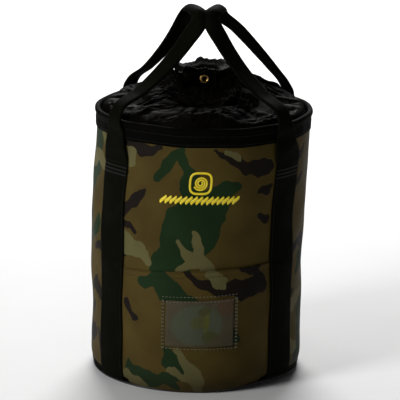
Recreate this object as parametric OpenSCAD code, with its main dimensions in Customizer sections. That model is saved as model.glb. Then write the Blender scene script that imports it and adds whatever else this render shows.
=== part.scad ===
// Round rope storage bag: coated fabric body on a flat base, webbing straps that run on
// into two carrying loops, a front pocket with a clear card window, and a drawn collar.
// The origin is the centre of the base's underside. The pocket faces -Y.

/* [Body] */
// Diameter over the fabric wall
body_d = 290; // [220:1:380]
// Height from the floor to the top of the rim
body_h = 365; // [300:1:480]
// Thickness of the coated fabric
wall_t = 1.2; // [0.6:0.1:2.5]
// Thickness of the doubled base panel above its seam
base_t = 3; // [2:0.1:6]
// Width of the tape over the wall's back seam
seam_tape_w = 20; // [12:1:40]
// Thickness of the tape over the wall's back seam
seam_tape_t = 0.8; // [0.4:0.1:1.5]

/* [Base binding] */
// Height of the binding on the outside of the wall
binding_h = 12; // [8:1:20]
// Width of the binding under the base
binding_lip = 8; // [5:1:16]
// Thickness of the binding
binding_t = 1.2; // [0.8:0.1:2]

/* [Rim] */
// Height of the webbing that is folded over the rim
rim_band_h = 26; // [18:1:40]
// Thickness of the rim webbing
rim_band_t = 1.5; // [0.8:0.1:2.5]
// Diameter of the stiff hoop inside the rim
hoop_d = 5; // [3:0.1:8]

/* [Straps] */
// Width of the strap webbing
strap_w = 50; // [30:1:60]
// Thickness of the strap webbing
strap_t = 1.8; // [1:0.1:2.5]
// Bearing of each strap, from the front or from the back
strap_angle = 52; // [48:1:56]
// Length of webbing left loose below the rim
strap_free = 60; // [45:1:90]
// Width of the thread rows that end the sewn part
tack_w = 44; // [24:1:48]
// Thickness of the thread rows
tack_t = 0.6; // [0.3:0.1:1]

/* [Handles] */
// Rise of the carrying loops above the rim
handle_h = 136; // [110:1:200]
// Length of the level grip at the top of a loop
grip_l = 56; // [30:1:80]
// Width of the webbing where it is folded double
grip_w = 25; // [18:1:32]
// Thickness of the webbing where it is folded double
grip_t = 4.6; // [3:0.1:7]
// Outward bow of the left loop's front leg
left_front_bow = -12; // [-16:1:16]
// Outward bow of the left loop's back leg
left_back_bow = -4; // [-16:1:16]
// Outward bow of the right loop's front leg
right_front_bow = -16; // [-16:1:16]
// Outward bow of the right loop's back leg
right_back_bow = 12; // [-16:1:16]

/* [Pocket] */
// Height of the pocket's mouth above the floor
pocket_h = 172; // [140:1:220]
// Room between the pocket and the wall, at the middle
pocket_depth = 10; // [8:0.5:24]
// Thickness of the pocket fabric
pocket_t = 1.2; // [0.6:0.1:2]
// Height of the tape behind the pocket's mouth
hem_h = 12; // [8:1:24]

/* [Card window] */
// Width of the clear window
window_w = 102; // [80:1:110]
// Height of the clear window
window_h = 70; // [50:1:80]
// Height of the window's lower edge above the floor
window_z = 60; // [30:1:70]
// Thickness of the clear sheet
window_t = 0.5; // [0.3:0.1:1]
// Width of the sewn edge of the window
window_seam = 5; // [3:0.5:8]
// Thickness of the card
card_t = 0.6; // [0.3:0.1:1]

/* [Collar] */
// Height of the drawn throat above the rim
throat_rise = 43; // [36:1:60]
// Diameter of the hole left in the throat
throat_d = 43; // [30:1:60]
// Thickness of the gathered collar fabric
collar_t = 1; // [0.6:0.1:1.5]
// Height of the cord channel round the throat
channel_h = 18; // [16:1:26]
// Thickness of the channel tape
channel_t = 1; // [0.6:0.1:1.5]
// Height of the ruffle above the channel
ruffle_h = 8; // [4:1:16]
// Diameter of the drawcord
cord_d = 4.5; // [3:0.1:5]

/* [Grommet] */
// Diameter of the grommet's flange
grommet_d = 13; // [11:0.5:14]
// Diameter of the grommet's bore
grommet_bore = 6; // [5:0.1:7]
// Thickness of the grommet's metal
grommet_t = 0.6; // [0.4:0.1:0.8]

/* [Clearances] */
// Gap between plies that are sewn together
ply_gap = 0.1; // [0.05:0.05:0.3]
// Gap between pieces that move past each other
move_gap = 0.3; // [0.2:0.05:0.6]

/* [Hidden] */
$fn = 96;

// Body
body_r = body_d / 2;
inner_r = body_r - wall_t;
seam_z = binding_t + 3 * ply_gap;           // where the wall stands on the base seam
floor_z = seam_z + base_t;                  // the bag's inside floor
roll_r = hoop_d / 2 + ply_gap + rim_band_t; // radius of the rolled rim, round the hoop
hoop_r = body_r - wall_t / 2;
hoop_z = body_h - roll_r;
wall_top = hoop_z - hoop_d / 2 - ply_gap;

// Straps lie over the pocket's edges and the base binding
strap_in = body_r + max(pocket_t, binding_t) + 2 * ply_gap;
strap_half = strap_w / 2 / strap_in * 180 / PI;
strap_z = 1;
stitch_z = body_h - strap_free;
tack_pitch = 5;
tack_row = 2;

// Pocket: an arc that leaves the wall at pocket_edge and stands pocket_depth out at the middle
pocket_edge = strap_angle - 0.95 * strap_half;
pocket_front = body_r + pocket_depth;
pocket_y = (pow(pocket_front, 2) - pow(body_r, 2)) / (2 * (pocket_front - body_r * cos(pocket_edge)));
pocket_r = pocket_front - pocket_y;
pocket_z = binding_h + ply_gap;
pocket_flange = 4;                          // degrees of the pocket that lie under the strap
room_half = pocket_edge - 1.4 * pocket_flange;
hem_r = pocket_r - pocket_t - ply_gap;
hem_wall = acos((pow(body_r + move_gap, 2) - pow(hem_r - pocket_t, 2) - pow(pocket_y, 2))
                / (2 * pocket_y * (hem_r - pocket_t)));
hem_half = min(hem_wall, asin((body_r * sin(room_half) - move_gap) / hem_r));

// Window and card, measured out from the pocket's face
card_r = pocket_r + move_gap;
window_r = card_r + card_t + move_gap;
window_half = window_w / 2 / pocket_r * 180 / PI;
seam_half = window_seam / pocket_r * 180 / PI;
card_half = window_half - seam_half - move_gap;
card_h = window_h - window_seam - move_gap;

// Collar
skirt_r = inner_r - rim_band_t - 2 * ply_gap;
roll_in = hoop_r - roll_r - 2 * ply_gap;
throat_r = throat_d / 2 + collar_t;
throat_z = body_h + throat_rise;
skirt_z = 20;                               // how far the collar reaches down inside the rim
channel_in = throat_r + ply_gap;
washer_sag = pow(grommet_d / 2, 2) / (2 * (throat_r + cord_d)); // what a flat washer needs in a round tape
channel_r = channel_in + cord_d + grommet_t + channel_t + 5 * ply_gap + washer_sag;
cord_r = channel_in + ply_gap + cord_d / 2;
washer_y = -(cord_r + cord_d / 2 + ply_gap);
flange_y = -(channel_r + ply_gap);
barrel_t = 0.6;

// Handles
handle_r = strap_in + strap_t / 2;
rim_r = hoop_r + roll_r + move_gap + grip_t / 2 + 0.6;
grip_x = grip_w / 2 + move_gap;
grip_z = body_h + handle_h;
grip_end = grip_l / 2;

// A point at radius r and height z, at a bearing from the front, positive to +X
function at(r, bearing, z) = [r * sin(bearing), -r * cos(bearing), z];

// The same point without its height
function flat_at(r, bearing) = [r * sin(bearing), -r * cos(bearing)];

// Bearings from one edge to the other, in equal steps
function fan(edge, steps = 64) = [for (i = [0 : steps]) edge * (2 * i / steps - 1)];

// How far from the bag's axis the pocket's arc of radius r is at a bearing
function arc_r(r, bearing) = pocket_y * cos(bearing) + sqrt(pow(r, 2) - pow(pocket_y * sin(bearing), 2));

// One leg of a loop from its stitch line up to the grip, on the +X side in front, as
// [point, width, thickness, direction of the width] stations. bow pushes it outwards.
function leg(bow) = let (
    b = strap_angle,
    across = [-cos(b), -sin(b), 0],
    foot = at(rim_r - 5, b, body_h + 14),
    grip = [grip_x + 4, -grip_end - 4, grip_z - 11],
    up = grip - foot,
    out = [bow, -bow / 2, bow / 2]
) [
    [at(handle_r, b, stitch_z + move_gap), strap_w, strap_t, across],
    [at(handle_r, b, stitch_z + 8), strap_w, strap_t, across],
    [at(handle_r + 0.6, b, stitch_z + 0.45 * strap_free), 0.8 * strap_w, strap_t + 0.6, across],
    [at(rim_r - 1.2, b, hoop_z - 10), 0.62 * strap_w, 0.8 * grip_t, across],
    [at(rim_r + 0.6, b, hoop_z), grip_w + 3, grip_t, across],
    [at(rim_r - 0.6, b, body_h + 5), grip_w, grip_t, across],
    [foot, grip_w, grip_t, across],
    [foot + 0.2 * up + out * 0.7, grip_w, grip_t, [-0.7, -0.7, 0]],
    [foot + 0.4 * up + out, grip_w, grip_t, [-0.8, -0.6, 0]],
    [foot + 0.6 * up + out, grip_w, grip_t, [-0.85, -0.5, 0]],
    [foot + 0.8 * up + out * 0.7, grip_w, grip_t, [-0.9, -0.4, 0]],
    [grip, grip_w, grip_t, [-1, -0.2, 0]],
    [[grip_x + 1, -grip_end + 2, grip_z - 3], grip_w, grip_t, [-1, -0.1, 0]],
    [[grip_x, -grip_end + 12, grip_z], grip_w, grip_t, [-1, 0, 0]]
];

// The back leg is the front one turned round, in reverse order
function behind(v) = [v[0], -v[1], v[2]];
function back_leg(stations) = [
    for (i = [len(stations) - 1 : -1 : 0])
        let (s = stations[i]) [behind(s[0]), s[1], s[2], behind(s[3])]
];

function unit(v) = v / norm(v);

// The four corners of the webbing's section at station i
function corners(st, i) = let (
    last = len(st) - 1,
    along = unit(st[min(i + 1, last)][0] - st[max(i - 1, 0)][0]),
    out = unit(cross(along, st[i][3])),
    wide = cross(out, along) * st[i][1] / 2,
    thick = out * st[i][2] / 2
) [for (s = [[-1, -1], [1, -1], [1, 1], [-1, 1]]) st[i][0] + s[0] * wide + s[1] * thick];

// Webbing swept through the stations
module webbing(st) {
    n = len(st);
    points = [for (i = [0 : n - 1]) each corners(st, i)];
    sides = [
        for (i = [0 : n - 2], k = [0 : 3])
            let (a = 4 * i + k, b = 4 * i + (k + 1) % 4)
            each [[a, b, a + 4], [b, b + 4, a + 4]]
    ];
    top = 4 * (n - 1);
    ends = [[0, 3, 2], [0, 2, 1], [top, top + 1, top + 2], [top, top + 2, top + 3]];
    polyhedron(points, concat(sides, ends));
}

// The outline of a ply of thickness t along a path, to the left of its direction
function ply(path, t) = let (
    last = len(path) - 1,
    inside = [
        for (i = [0 : last])
            let (d = unit(path[min(i + 1, last)] - path[max(i - 1, 0)]))
            path[i] + t * [-d[1], d[0]]
    ]
) concat(path, [for (i = [last : -1 : 0]) inside[i]]);

// A wall between two radii, centred on a bearing, half degrees to each side
module arc_wall(r_in, r_out, z, h, bearing, half) {
    translate([0, 0, z])
        rotate([0, 0, 270 + bearing - half])
            rotate_extrude(angle = 2 * half)
                translate([r_in, 0])
                    square([r_out - r_in, h]);
}

module ring(r_in, r_out, z, h) {
    translate([0, 0, z])
        rotate_extrude()
            translate([r_in, 0])
                square([r_out - r_in, h]);
}

module strap(bearing) {
    color([0.07, 0.07, 0.05])
        arc_wall(strap_in, strap_in + strap_t, strap_z, stitch_z - strap_z, bearing, strap_half);
}

module bartack(bearing) {
    color([0.12, 0.12, 0.1])
        for (row = [1 : 3])
            arc_wall(strap_in + strap_t + ply_gap, strap_in + strap_t + ply_gap + tack_t,
                     stitch_z - row * tack_pitch, tack_row, bearing, strap_half * tack_w / strap_w);
}

module handle(front_bow, back_bow) {
    color([0.08, 0.08, 0.06])
        webbing(concat(leg(front_bow), back_leg(leg(back_bow))));
}

module body_panel() {
    color([0.32, 0.29, 0.17])
        ring(inner_r, body_r, seam_z, wall_top - seam_z);
}

module back_seam_tape() {
    z = floor_z + ply_gap;
    color([0.06, 0.06, 0.05])
        arc_wall(inner_r - ply_gap - seam_tape_t, inner_r - ply_gap, z, body_h - rim_band_h - ply_gap - z,
                 180, seam_tape_w / 2 / inner_r * 180 / PI);
}

// The lower disc rests on the floor inside the binding, and the upper one meets the wall
module base_panel() {
    color([0.1, 0.1, 0.08])
        union() {
            cylinder(r = body_r - binding_lip - move_gap, h = seam_z);
            translate([0, 0, seam_z])
                cylinder(r = inner_r - ply_gap, h = base_t);
        }
}

module base_binding() {
    out = body_r + ply_gap;
    color([0.05, 0.05, 0.04])
        union() {
            ring(body_r - binding_lip, out + binding_t, 2 * ply_gap, binding_t);
            ring(out, out + binding_t, 2 * ply_gap, binding_h - 2 * ply_gap);
        }
}

module rim_hoop() {
    color([0.15, 0.15, 0.15])
        translate([0, 0, hoop_z])
            rotate_extrude()
                translate([hoop_r, 0])
                    circle(d = hoop_d, $fn = 32);
}

// Webbing rolled over the hoop, with a leg on each side of the wall
module rim_band() {
    slot = wall_t + 2 * ply_gap;
    leg_h = hoop_z - hoop_d / 2 - ply_gap - (body_h - rim_band_h);
    color([0.06, 0.06, 0.05])
        translate([0, 0, hoop_z])
            rotate_extrude()
                translate([hoop_r, 0])
                    union() {
                        difference() {
                            circle(r = roll_r, $fn = 48);
                            circle(r = roll_r - rim_band_t, $fn = 48);
                            translate([-slot / 2, -2 * roll_r])
                                square([slot, 2 * roll_r]);
                        }
                        for (x = [slot / 2, -slot / 2 - rim_band_t])
                            translate([x, -leg_h - hoop_d / 2 - ply_gap])
                                square([rim_band_t, leg_h]);
                    }
}

module strap_front_left() { strap(-strap_angle); }
module strap_front_right() { strap(strap_angle); }
module strap_back_left() { strap(strap_angle - 180); }
module strap_back_right() { strap(180 - strap_angle); }
module bartack_front_left() { bartack(-strap_angle); }
module bartack_front_right() { bartack(strap_angle); }
module bartack_back_left() { bartack(strap_angle - 180); }
module bartack_back_right() { bartack(180 - strap_angle); }
module handle_left() { mirror([1, 0, 0]) handle(left_front_bow, left_back_bow); }
module handle_right() { handle(right_front_bow, right_back_bow); }

// The bulging front and its floor, and a flange under each front strap
module pocket_panel() {
    wall_r = body_r + ply_gap;
    edge = pocket_edge + pocket_flange;
    h = pocket_h - pocket_z;
    color([0.3, 0.28, 0.17])
        translate([0, 0, pocket_z])
            difference() {
                linear_extrude(h)
                    polygon(concat(
                        [for (b = fan(edge)) flat_at(max(wall_r + pocket_t, arc_r(pocket_r, b)), b)],
                        [for (b = fan(-edge)) flat_at(wall_r, b)]));
                translate([0, 0, pocket_t])
                    linear_extrude(h)
                        polygon(concat(
                            [for (b = fan(room_half)) flat_at(arc_r(pocket_r - pocket_t, b), b)],
                            [for (b = fan(-room_half)) flat_at(wall_r - 1, b)]));
            }
}

module pocket_hem_tape() {
    color([0.2, 0.19, 0.12])
        translate([0, -pocket_y, 0])
            arc_wall(hem_r - pocket_t, hem_r, pocket_h - hem_h, hem_h, 0, hem_half);
}

// A clear sheet sewn down on three sides, and open at the top
module id_window() {
    color([0.75, 0.78, 0.76, 0.4])
        translate([0, -pocket_y, 0])
            difference() {
                arc_wall(pocket_r + ply_gap, window_r + window_t, window_z, window_h, 0, window_half);
                arc_wall(pocket_r - 1, window_r, window_z + window_seam, window_h, 0, window_half - seam_half);
            }
}

module id_card() {
    color([0.5, 0.52, 0.45])
        translate([0, -pocket_y, 0])
            arc_wall(card_r, card_r + card_t, window_z + window_seam + move_gap, card_h, 0, card_half);
}

// Drawn fabric: up inside the rim, over to the throat, through it and out into a ruffle
module collar() {
    low = throat_rise - channel_h / 2;
    high = throat_rise + channel_h / 2;
    fall = skirt_r - throat_r;
    path = [
        [skirt_r, -skirt_z], [skirt_r, -skirt_z / 2 - 2], [roll_in, -2 * roll_r],
        [roll_in, -1], [roll_in - 3, 4], [throat_r + 0.87 * fall, 0.4 * low],
        [throat_r + 0.65 * fall, 0.76 * low], [throat_r + 0.46 * fall, 0.97 * low],
        [throat_r + 0.3 * fall, low + 1], [throat_r + 0.14 * fall, low - 1],
        [throat_r, low - 1.5], [throat_r, high + 1], [throat_r + 1.2 * ruffle_h, high + ruffle_h]
    ];
    color([0.03, 0.03, 0.03])
        translate([0, 0, body_h])
            rotate_extrude()
                polygon(ply(path, collar_t));
}

// Tape round the throat that leaves a channel for the cord, pierced for the grommet
module collar_channel() {
    h = channel_h / 2 - ply_gap;
    path = [
        [channel_in, -h], [channel_r - 1.5, -h], [channel_r, 1.6 - h],
        [channel_r, h - 1.6], [channel_r - 1.5, h], [channel_in, h]
    ];
    color([0.04, 0.04, 0.04])
        translate([0, 0, throat_z])
            difference() {
                rotate_extrude()
                    polygon(ply(path, channel_t));
                rotate([90, 0, 0])
                    cylinder(r = grommet_bore / 2 + barrel_t + ply_gap, h = channel_r + 1);
            }
}

module drawcord() {
    color([0.08, 0.08, 0.08])
        translate([0, 0, throat_z])
            rotate_extrude()
                translate([cord_r, 0])
                    circle(d = cord_d, $fn = 32);
}

// A length of tube or a washer along -Y, from y to y - depth
module spool(r_in, r_out, y, depth) {
    translate([0, y, throat_z])
        rotate([90, 0, 0])
            difference() {
                cylinder(r = r_out, h = depth);
                translate([0, 0, -1])
                    cylinder(r = r_in, h = depth + 2);
            }
}

module grommet_eyelet() {
    bore = grommet_bore / 2;
    color([0.78, 0.6, 0.25])
        union() {
            spool(bore, bore + barrel_t, washer_y, grommet_t + washer_y - flange_y);
            spool(bore, grommet_d / 2, flange_y, grommet_t);
        }
}

module grommet_washer() {
    color([0.78, 0.6, 0.25])
        spool(grommet_bore / 2 + barrel_t + ply_gap, grommet_d / 2 - 0.5, washer_y, grommet_t);
}

body_panel();
back_seam_tape();
base_panel();
base_binding();
rim_hoop();
rim_band();
strap_front_left();
strap_front_right();
strap_back_left();
strap_back_right();
bartack_front_left();
bartack_front_right();
bartack_back_left();
bartack_back_right();
handle_left();
handle_right();
pocket_panel();
pocket_hem_tape();
id_window();
id_card();
collar();
collar_channel();
drawcord();
grommet_eyelet();
grommet_washer();
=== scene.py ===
"""The looks of an upright round rope bag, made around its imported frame.

Lengths are metres unless a name or comment says millimetres. The bag stands on z = 0, its pocket faces -Y,
and a bearing is the angle round the bag from the middle of the front towards +X.
"""
import math

import bmesh
import bpy
import numpy as np
from mathutils import Matrix, Vector


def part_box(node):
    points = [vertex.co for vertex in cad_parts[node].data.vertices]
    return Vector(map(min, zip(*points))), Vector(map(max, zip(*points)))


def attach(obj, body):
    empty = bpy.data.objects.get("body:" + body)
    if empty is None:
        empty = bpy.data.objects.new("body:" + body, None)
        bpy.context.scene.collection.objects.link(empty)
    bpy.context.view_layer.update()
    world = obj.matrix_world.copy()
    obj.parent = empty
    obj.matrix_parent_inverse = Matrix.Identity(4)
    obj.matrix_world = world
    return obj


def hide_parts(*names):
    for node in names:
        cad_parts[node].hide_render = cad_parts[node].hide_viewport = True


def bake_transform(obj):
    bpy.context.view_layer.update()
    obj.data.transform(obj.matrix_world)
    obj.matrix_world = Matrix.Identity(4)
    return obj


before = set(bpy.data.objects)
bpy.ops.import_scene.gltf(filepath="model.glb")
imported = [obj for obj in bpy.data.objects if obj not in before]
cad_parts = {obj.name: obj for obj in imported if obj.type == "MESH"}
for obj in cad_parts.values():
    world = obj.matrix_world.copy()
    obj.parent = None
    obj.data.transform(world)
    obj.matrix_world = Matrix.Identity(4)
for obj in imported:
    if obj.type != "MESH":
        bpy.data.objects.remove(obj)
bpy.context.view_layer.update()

bl_info = {
    "name": "Rope Storage Bag",
    "version": (1, 0, 0),
    "blender": (4, 5, 0),
    "location": "View3D > Sidebar > Rope Bag",
    "description": "Cloth, webbing, collar, card window and print of a round rope bag",
    "category": "Object",
}

MM = 0.001
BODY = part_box("body_panel")
RADIUS = BODY[1][0]                          # outer face of the wall
WALL_TOP = BODY[1][2]
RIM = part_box("rim_band")                     # binding folded over the hoop
RIM_TOP = RIM[1][2]
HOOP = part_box("rim_hoop")
HOOP_Z = (HOOP[0][2] + HOOP[1][2]) / 2
HOOP_ROD = (HOOP[1][2] - HOOP[0][2]) / 2
HOOP_RADIUS = HOOP[1][0] - HOOP_ROD
TACK_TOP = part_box("bartack_front_left")[1][2]
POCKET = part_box("pocket_panel")
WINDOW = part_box("id_window")
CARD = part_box("id_card")
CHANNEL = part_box("collar_channel")
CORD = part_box("drawcord")
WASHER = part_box("grommet_washer")
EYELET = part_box("grommet_eyelet")
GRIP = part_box("handle_right")
GRIP_WIDTH = 25.3 * MM                       # where the inner side of the grip ends
GRIP_X = (GRIP[0][0] + GRIP_WIDTH) / 2       # middle of a loop's grip, which starts near x = 0
THROAT_Z = (CORD[0][2] + CORD[1][2]) / 2
STRAP_ANGLE = math.radians(52)               # bearing of the middle of a front strap


# --------------------------------------------------------------------------- settings


def length(name, about, default):
    """A length that a user would change."""
    return bpy.props.FloatProperty(name=name, description=about, default=default, unit="LENGTH", precision=4)


def number(name, about, default):
    """A plain number that a user would change."""
    return bpy.props.FloatProperty(name=name, description=about, default=default)


def angle(name, about, degrees):
    """An angle that a user would change, with its default in degrees."""
    default = math.radians(degrees)
    return bpy.props.FloatProperty(name=name, description=about, default=default, unit="ROTATION")


def colour(name, about, default):
    """A colour that a user would change."""
    return bpy.props.FloatVectorProperty(
        name=name, description=about, default=default, subtype="COLOR", size=3, min=0, max=1
    )


class BagShape(bpy.types.PropertyGroup):
    """Sizes of the soft shapes around the frame."""

    lean: length("Lean", "How far the body stands to the left of the rim", 6 * MM)
    foot_lift: length("Foot lift", "How far the foot's slack side is off the floor", 7 * MM)
    ripple: length("Ripple", "Depth of the soft waves in the wall", 1.5 * MM)
    corner: length("Corner", "Radius of the wall's rounded lower edge", 8 * MM)
    strap_width: length("Strap width", "Width of the webbing before it is folded", 50 * MM)
    strap_thick: length("Strap thickness", "Thickness of the webbing", 1.7 * MM)
    mouth_rise: length("Mouth rise", "How much higher the pocket's mouth is at its right end", 11 * MM)
    mouth_gap: length("Mouth gap", "Gap between the wall and the middle of the pocket's mouth", 4 * MM)
    stitch: length("Stitch", "Length of one stitch", 2.6 * MM)
    pitch: length("Stitch pitch", "Distance from stitch to stitch", 3.6 * MM)
    thread: length("Thread", "Thickness of the sewing thread", 0.7 * MM)
    gathers: bpy.props.IntProperty(name="Gathers", description="Pleats in the drawn throat", default=19)


class BagColours(bpy.types.PropertyGroup):
    """Colours of the cloth, webbing and small parts."""

    brown: colour("Brown", "Ground colour of the print", (0.062, 0.043, 0.0105))
    green: colour("Green", "Green of the print", (0.0105, 0.0240, 0.0085))
    khaki: colour("Khaki", "Pale patches of the print", (0.100, 0.090, 0.036))
    black: colour("Black", "Dark patches of the print", (0.0105, 0.0078, 0.0060))
    webbing: colour("Webbing", "Straps and loops", (0.0030, 0.0033, 0.0017))
    binding: colour("Binding", "Rim band and tapes", (0.0018, 0.0018, 0.0011))
    nylon: colour("Nylon", "Light cloth of the collar", (0.0021, 0.0019, 0.0012))
    thread: colour("Thread", "Dark sewing thread", (0.0042, 0.0042, 0.0031))
    light_thread: colour("Light thread", "Thread round the card window", (0.165, 0.160, 0.112))
    ink: colour("Ink", "Print on the front", (0.80, 0.62, 0.012))
    brass: colour("Brass", "Grommet", (0.42, 0.27, 0.09))


class BagStage(bpy.types.PropertyGroup):
    """Camera and light."""

    distance: length("Distance", "From the camera to the bag", 3.6)
    elevation: angle("Elevation", "Angle of the camera above level", 14.4)
    roll: angle("Roll", "Turn of the camera about its view", 1.0)
    lens: number("Lens", "Focal length in millimetres on a 36 mm sensor", 236)
    target_z: length("Target height", "Height of the middle of the picture", 0.232)
    key: number("Key light", "Power of the main light in watts", 62)
    fill: number("Fill light", "Power of the light from the right in watts", 0.6)
    sky: number("Sky", "Strength of the surrounding light", 0.03)


def shape():
    """The current sizes."""
    return bpy.context.scene.bag_shape


def tones():
    """The current colours."""
    return bpy.context.scene.bag_colours


# --------------------------------------------------------------------------- node trees


class Wire:
    """One output socket, or a number, with arithmetic that adds Math nodes to its tree."""

    def __init__(self, tree, socket):
        self.tree = tree
        self.socket = socket

    def math(self, operation, *values, clamp=False):
        settings = {"operation": operation, "use_clamp": clamp}
        return self.tree.add("ShaderNodeMath", settings, dict(enumerate((self,) + values)))

    def __add__(self, other):
        return self.math("ADD", other)

    def __radd__(self, other):
        return self.math("ADD", other)

    def __sub__(self, other):
        return self.math("SUBTRACT", other)

    def __rsub__(self, other):
        return self.tree.add("ShaderNodeMath", {"operation": "SUBTRACT"}, {0: other, 1: self})

    def __mul__(self, other):
        return self.math("MULTIPLY", other)

    def __rmul__(self, other):
        return self.math("MULTIPLY", other)

    def __truediv__(self, other):
        return self.math("DIVIDE", other)

    def step(self, low, high):
        """0 below low, 1 above high and a smooth rise between them."""
        settings = {"interpolation_type": "SMOOTHSTEP"}
        inputs = {"Value": self, "From Min": low, "From Max": high}
        return self.tree.add("ShaderNodeMapRange", settings, inputs)


class Tree:
    """A node tree, with the one method that adds a node."""

    def __init__(self, nodes_of):
        self.nodes_of = nodes_of

    def add(self, kind, settings=None, inputs=None, output=0):
        node = self.nodes_of.nodes.new(kind)
        for name, value in (settings or {}).items():
            setattr(node, name, value)
        for name, value in (inputs or {}).items():
            if isinstance(value, Wire):
                self.nodes_of.links.new(value.socket, node.inputs[name])
            else:
                node.inputs[name].default_value = value
        return Wire(self, node.outputs[output]) if len(node.outputs) else node

    def mix(self, factor, low, high):
        """A colour between low and high."""
        settings = {"data_type": "RGBA"}
        return self.add("ShaderNodeMix", settings, {0: factor, 6: rgba(low), 7: rgba(high)}, output=2)

    def object_place(self, scale=(1, 1, 1)):
        """Object coordinates, each axis multiplied by its scale."""
        place = self.add("ShaderNodeTexCoord", output=3)
        return self.add("ShaderNodeMapping", None, {"Vector": place, "Scale": scale})

    def cloth_place(self, scale=(1, 1, 1)):
        """The cloth's own coordinates: metres across and metres along."""
        place = self.add("ShaderNodeUVMap", {"uv_map": "cloth"})
        return self.add("ShaderNodeMapping", None, {"Vector": place, "Scale": scale})

    def noise(self, place, scale, detail=3.0, rough=0.5):
        inputs = {"Vector": place, "Scale": scale, "Detail": detail, "Roughness": rough}
        return self.add("ShaderNodeTexNoise", None, inputs)

    def split(self, vector, axis):
        """One number of a vector."""
        return self.add("ShaderNodeSeparateXYZ", None, {0: vector}, output=axis)

    def attribute(self, name):
        """A number stored on the mesh's points."""
        return self.add("ShaderNodeAttribute", {"attribute_name": name}, output=2)

    def bump(self, height, strength, distance, over=None):
        """A normal from a height, laid over another bump's normal if one is given."""
        inputs = {"Height": height, "Strength": strength, "Distance": distance}
        if over:
            inputs["Normal"] = over
        return self.add("ShaderNodeBump", None, inputs)


def rgba(value):
    """A colour with its alpha, or a wire as it is."""
    return value if isinstance(value, Wire) else (*value[:3], 1.0)


def scaled(value, by):
    """A colour made lighter or darker."""
    return tuple(min(1.0, part * by) for part in value[:3])


def surface(name, colour_of, rough_of, bump_of=None, **fixed):
    """A Principled material. Colour, roughness and bump come from functions of its tree."""
    material = bpy.data.materials.new(name)
    material.use_nodes = True
    tree = Tree(material.node_tree)
    shader = material.node_tree.nodes["Principled BSDF"]
    for socket, value in fixed.items():
        shader.inputs[socket.replace("_", " ")].default_value = value
    parts = {"Base Color": colour_of(tree), "Roughness": rough_of(tree)}
    if bump_of:
        parts["Normal"] = bump_of(tree)
    for socket, value in parts.items():
        if isinstance(value, Wire):
            material.node_tree.links.new(value.socket, shader.inputs[socket])
        else:
            shader.inputs[socket].default_value = value
    return material


# --------------------------------------------------------------------------- materials

COATED_THREAD = 1.1 * MM                     # two threads of the coated cloth's weave
NYLON_THREAD = 0.9 * MM
BINDER = 5.2 * MM                            # the zigzag of the webbing's ribs
RIB = 1.5 * MM
WARP = 1.3 * MM                              # lengthwise threads of the webbing
BRAID = (1.6 * MM, 2.4 * MM)                 # strands round the cord and along it


def waves(coordinate, wavelength):
    """A sine wave along a coordinate."""
    return (coordinate * (math.tau / wavelength)).math("SINE")


def weave(tree, thread):
    """Plain weave: two crossing sets of rounded threads, as a height from 0 to 1."""
    place = tree.cloth_place()
    return waves(tree.split(place, 0), thread) * waves(tree.split(place, 1), thread) * 0.5 + 0.5


def camo_colour(tree):
    """Four colours: green, black and khaki patches over the brown ground, with slightly ragged edges, and
    painted shade along the foot.
    """
    tone = tones()
    place = tree.cloth_place()
    soft_edge = 0.45                         # millimetres, as the attributes are
    ragged = (tree.noise(place, 160, 3.0) - 0.5) * 4.0
    ground = tree.noise(place, 22, 4.0).step(0.3, 0.7)
    brown = tree.mix(ground, scaled(tone.brown, 0.86), scaled(tone.brown, 1.12))
    green = tree.mix(ground, scaled(tone.green, 0.88), scaled(tone.green, 1.12))
    khaki = tree.mix(ground, scaled(tone.khaki, 0.9), scaled(tone.khaki, 1.06))
    result = brown
    for name, paint in (("camo_green", green), ("camo_black", tone.black), ("camo_khaki", khaki)):
        edge = tree.attribute(name) + ragged
        result = tree.mix(edge.step(-soft_edge, soft_edge), result, paint)
    scuffs = tree.noise(tree.object_place((1, 1, 2.2)), 46, 6.0, 0.68).step(0.66, 0.80)
    result = tree.mix(scuffs * 0.16, result, (0.13, 0.125, 0.10))
    # Painted shade: over the lowest 6 cm the cloth darkens towards the print's black, in place of the shade
    # under the rounded foot.
    painted_shade_to = 0.06
    painted_foot_shade = 1 - tree.split(tree.object_place(), 2).step(0.0, painted_shade_to)
    return tree.mix(painted_foot_shade * 0.35, result, scaled(tone.black, 1.5))


def camo_rough(tree):
    """Satin coating, duller where it has been rubbed."""
    rubbed = tree.noise(tree.object_place(), 30, 5.0, 0.6)
    return rubbed * 0.24 + 0.44


def camo_bump(tree):
    """The weave that shows through the coating, and its fine wrinkles."""
    wrinkles = tree.noise(tree.object_place((1, 1, 0.6)), 70, 4.0, 0.55)
    fine = tree.bump(weave(tree, COATED_THREAD), 0.22, 0.15 * MM)
    return tree.bump(wrinkles, 0.3, 1.2 * MM, fine)


def camo_surface():
    """Coated cloth with its four-colour print."""
    return surface("printed coated cloth", camo_colour, camo_rough, camo_bump, Specular_IOR_Level=0.03)


def webbing_height(tree):
    """Ribs across the webbing, broken by the lengthwise binder threads, as a height from 0 to 1."""
    place = tree.cloth_place()
    across = tree.split(place, 0)
    along = tree.split(place, 1)
    zigzag = waves(across, BINDER) * 0.9
    ribs = (along * (math.tau / RIB) + zigzag).math("SINE")
    cords = waves(across, WARP)
    return ribs * 0.34 + cords * 0.16 + 0.5


def webbing_surface(name, tone, light):
    """Nylon webbing: ribbed, with paler rubbed threads and fuzz."""

    def paint(tree):
        worn = tree.noise(tree.object_place(), 38, 6.0, 0.66).step(0.50, 0.82)
        ribs = webbing_height(tree)
        base = tree.mix(ribs.step(0.25, 0.9), scaled(tone, 0.55), scaled(tone, 1.5))
        return tree.mix(worn * 0.42, base, scaled(tone, light))

    def rough(tree):
        return tree.noise(tree.object_place(), 60, 3.0) * 0.2 + 0.58

    def bump(tree):
        return tree.bump(webbing_height(tree), 0.55, 0.35 * MM)

    return surface(name, paint, rough, bump, Specular_IOR_Level=0.012)


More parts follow.
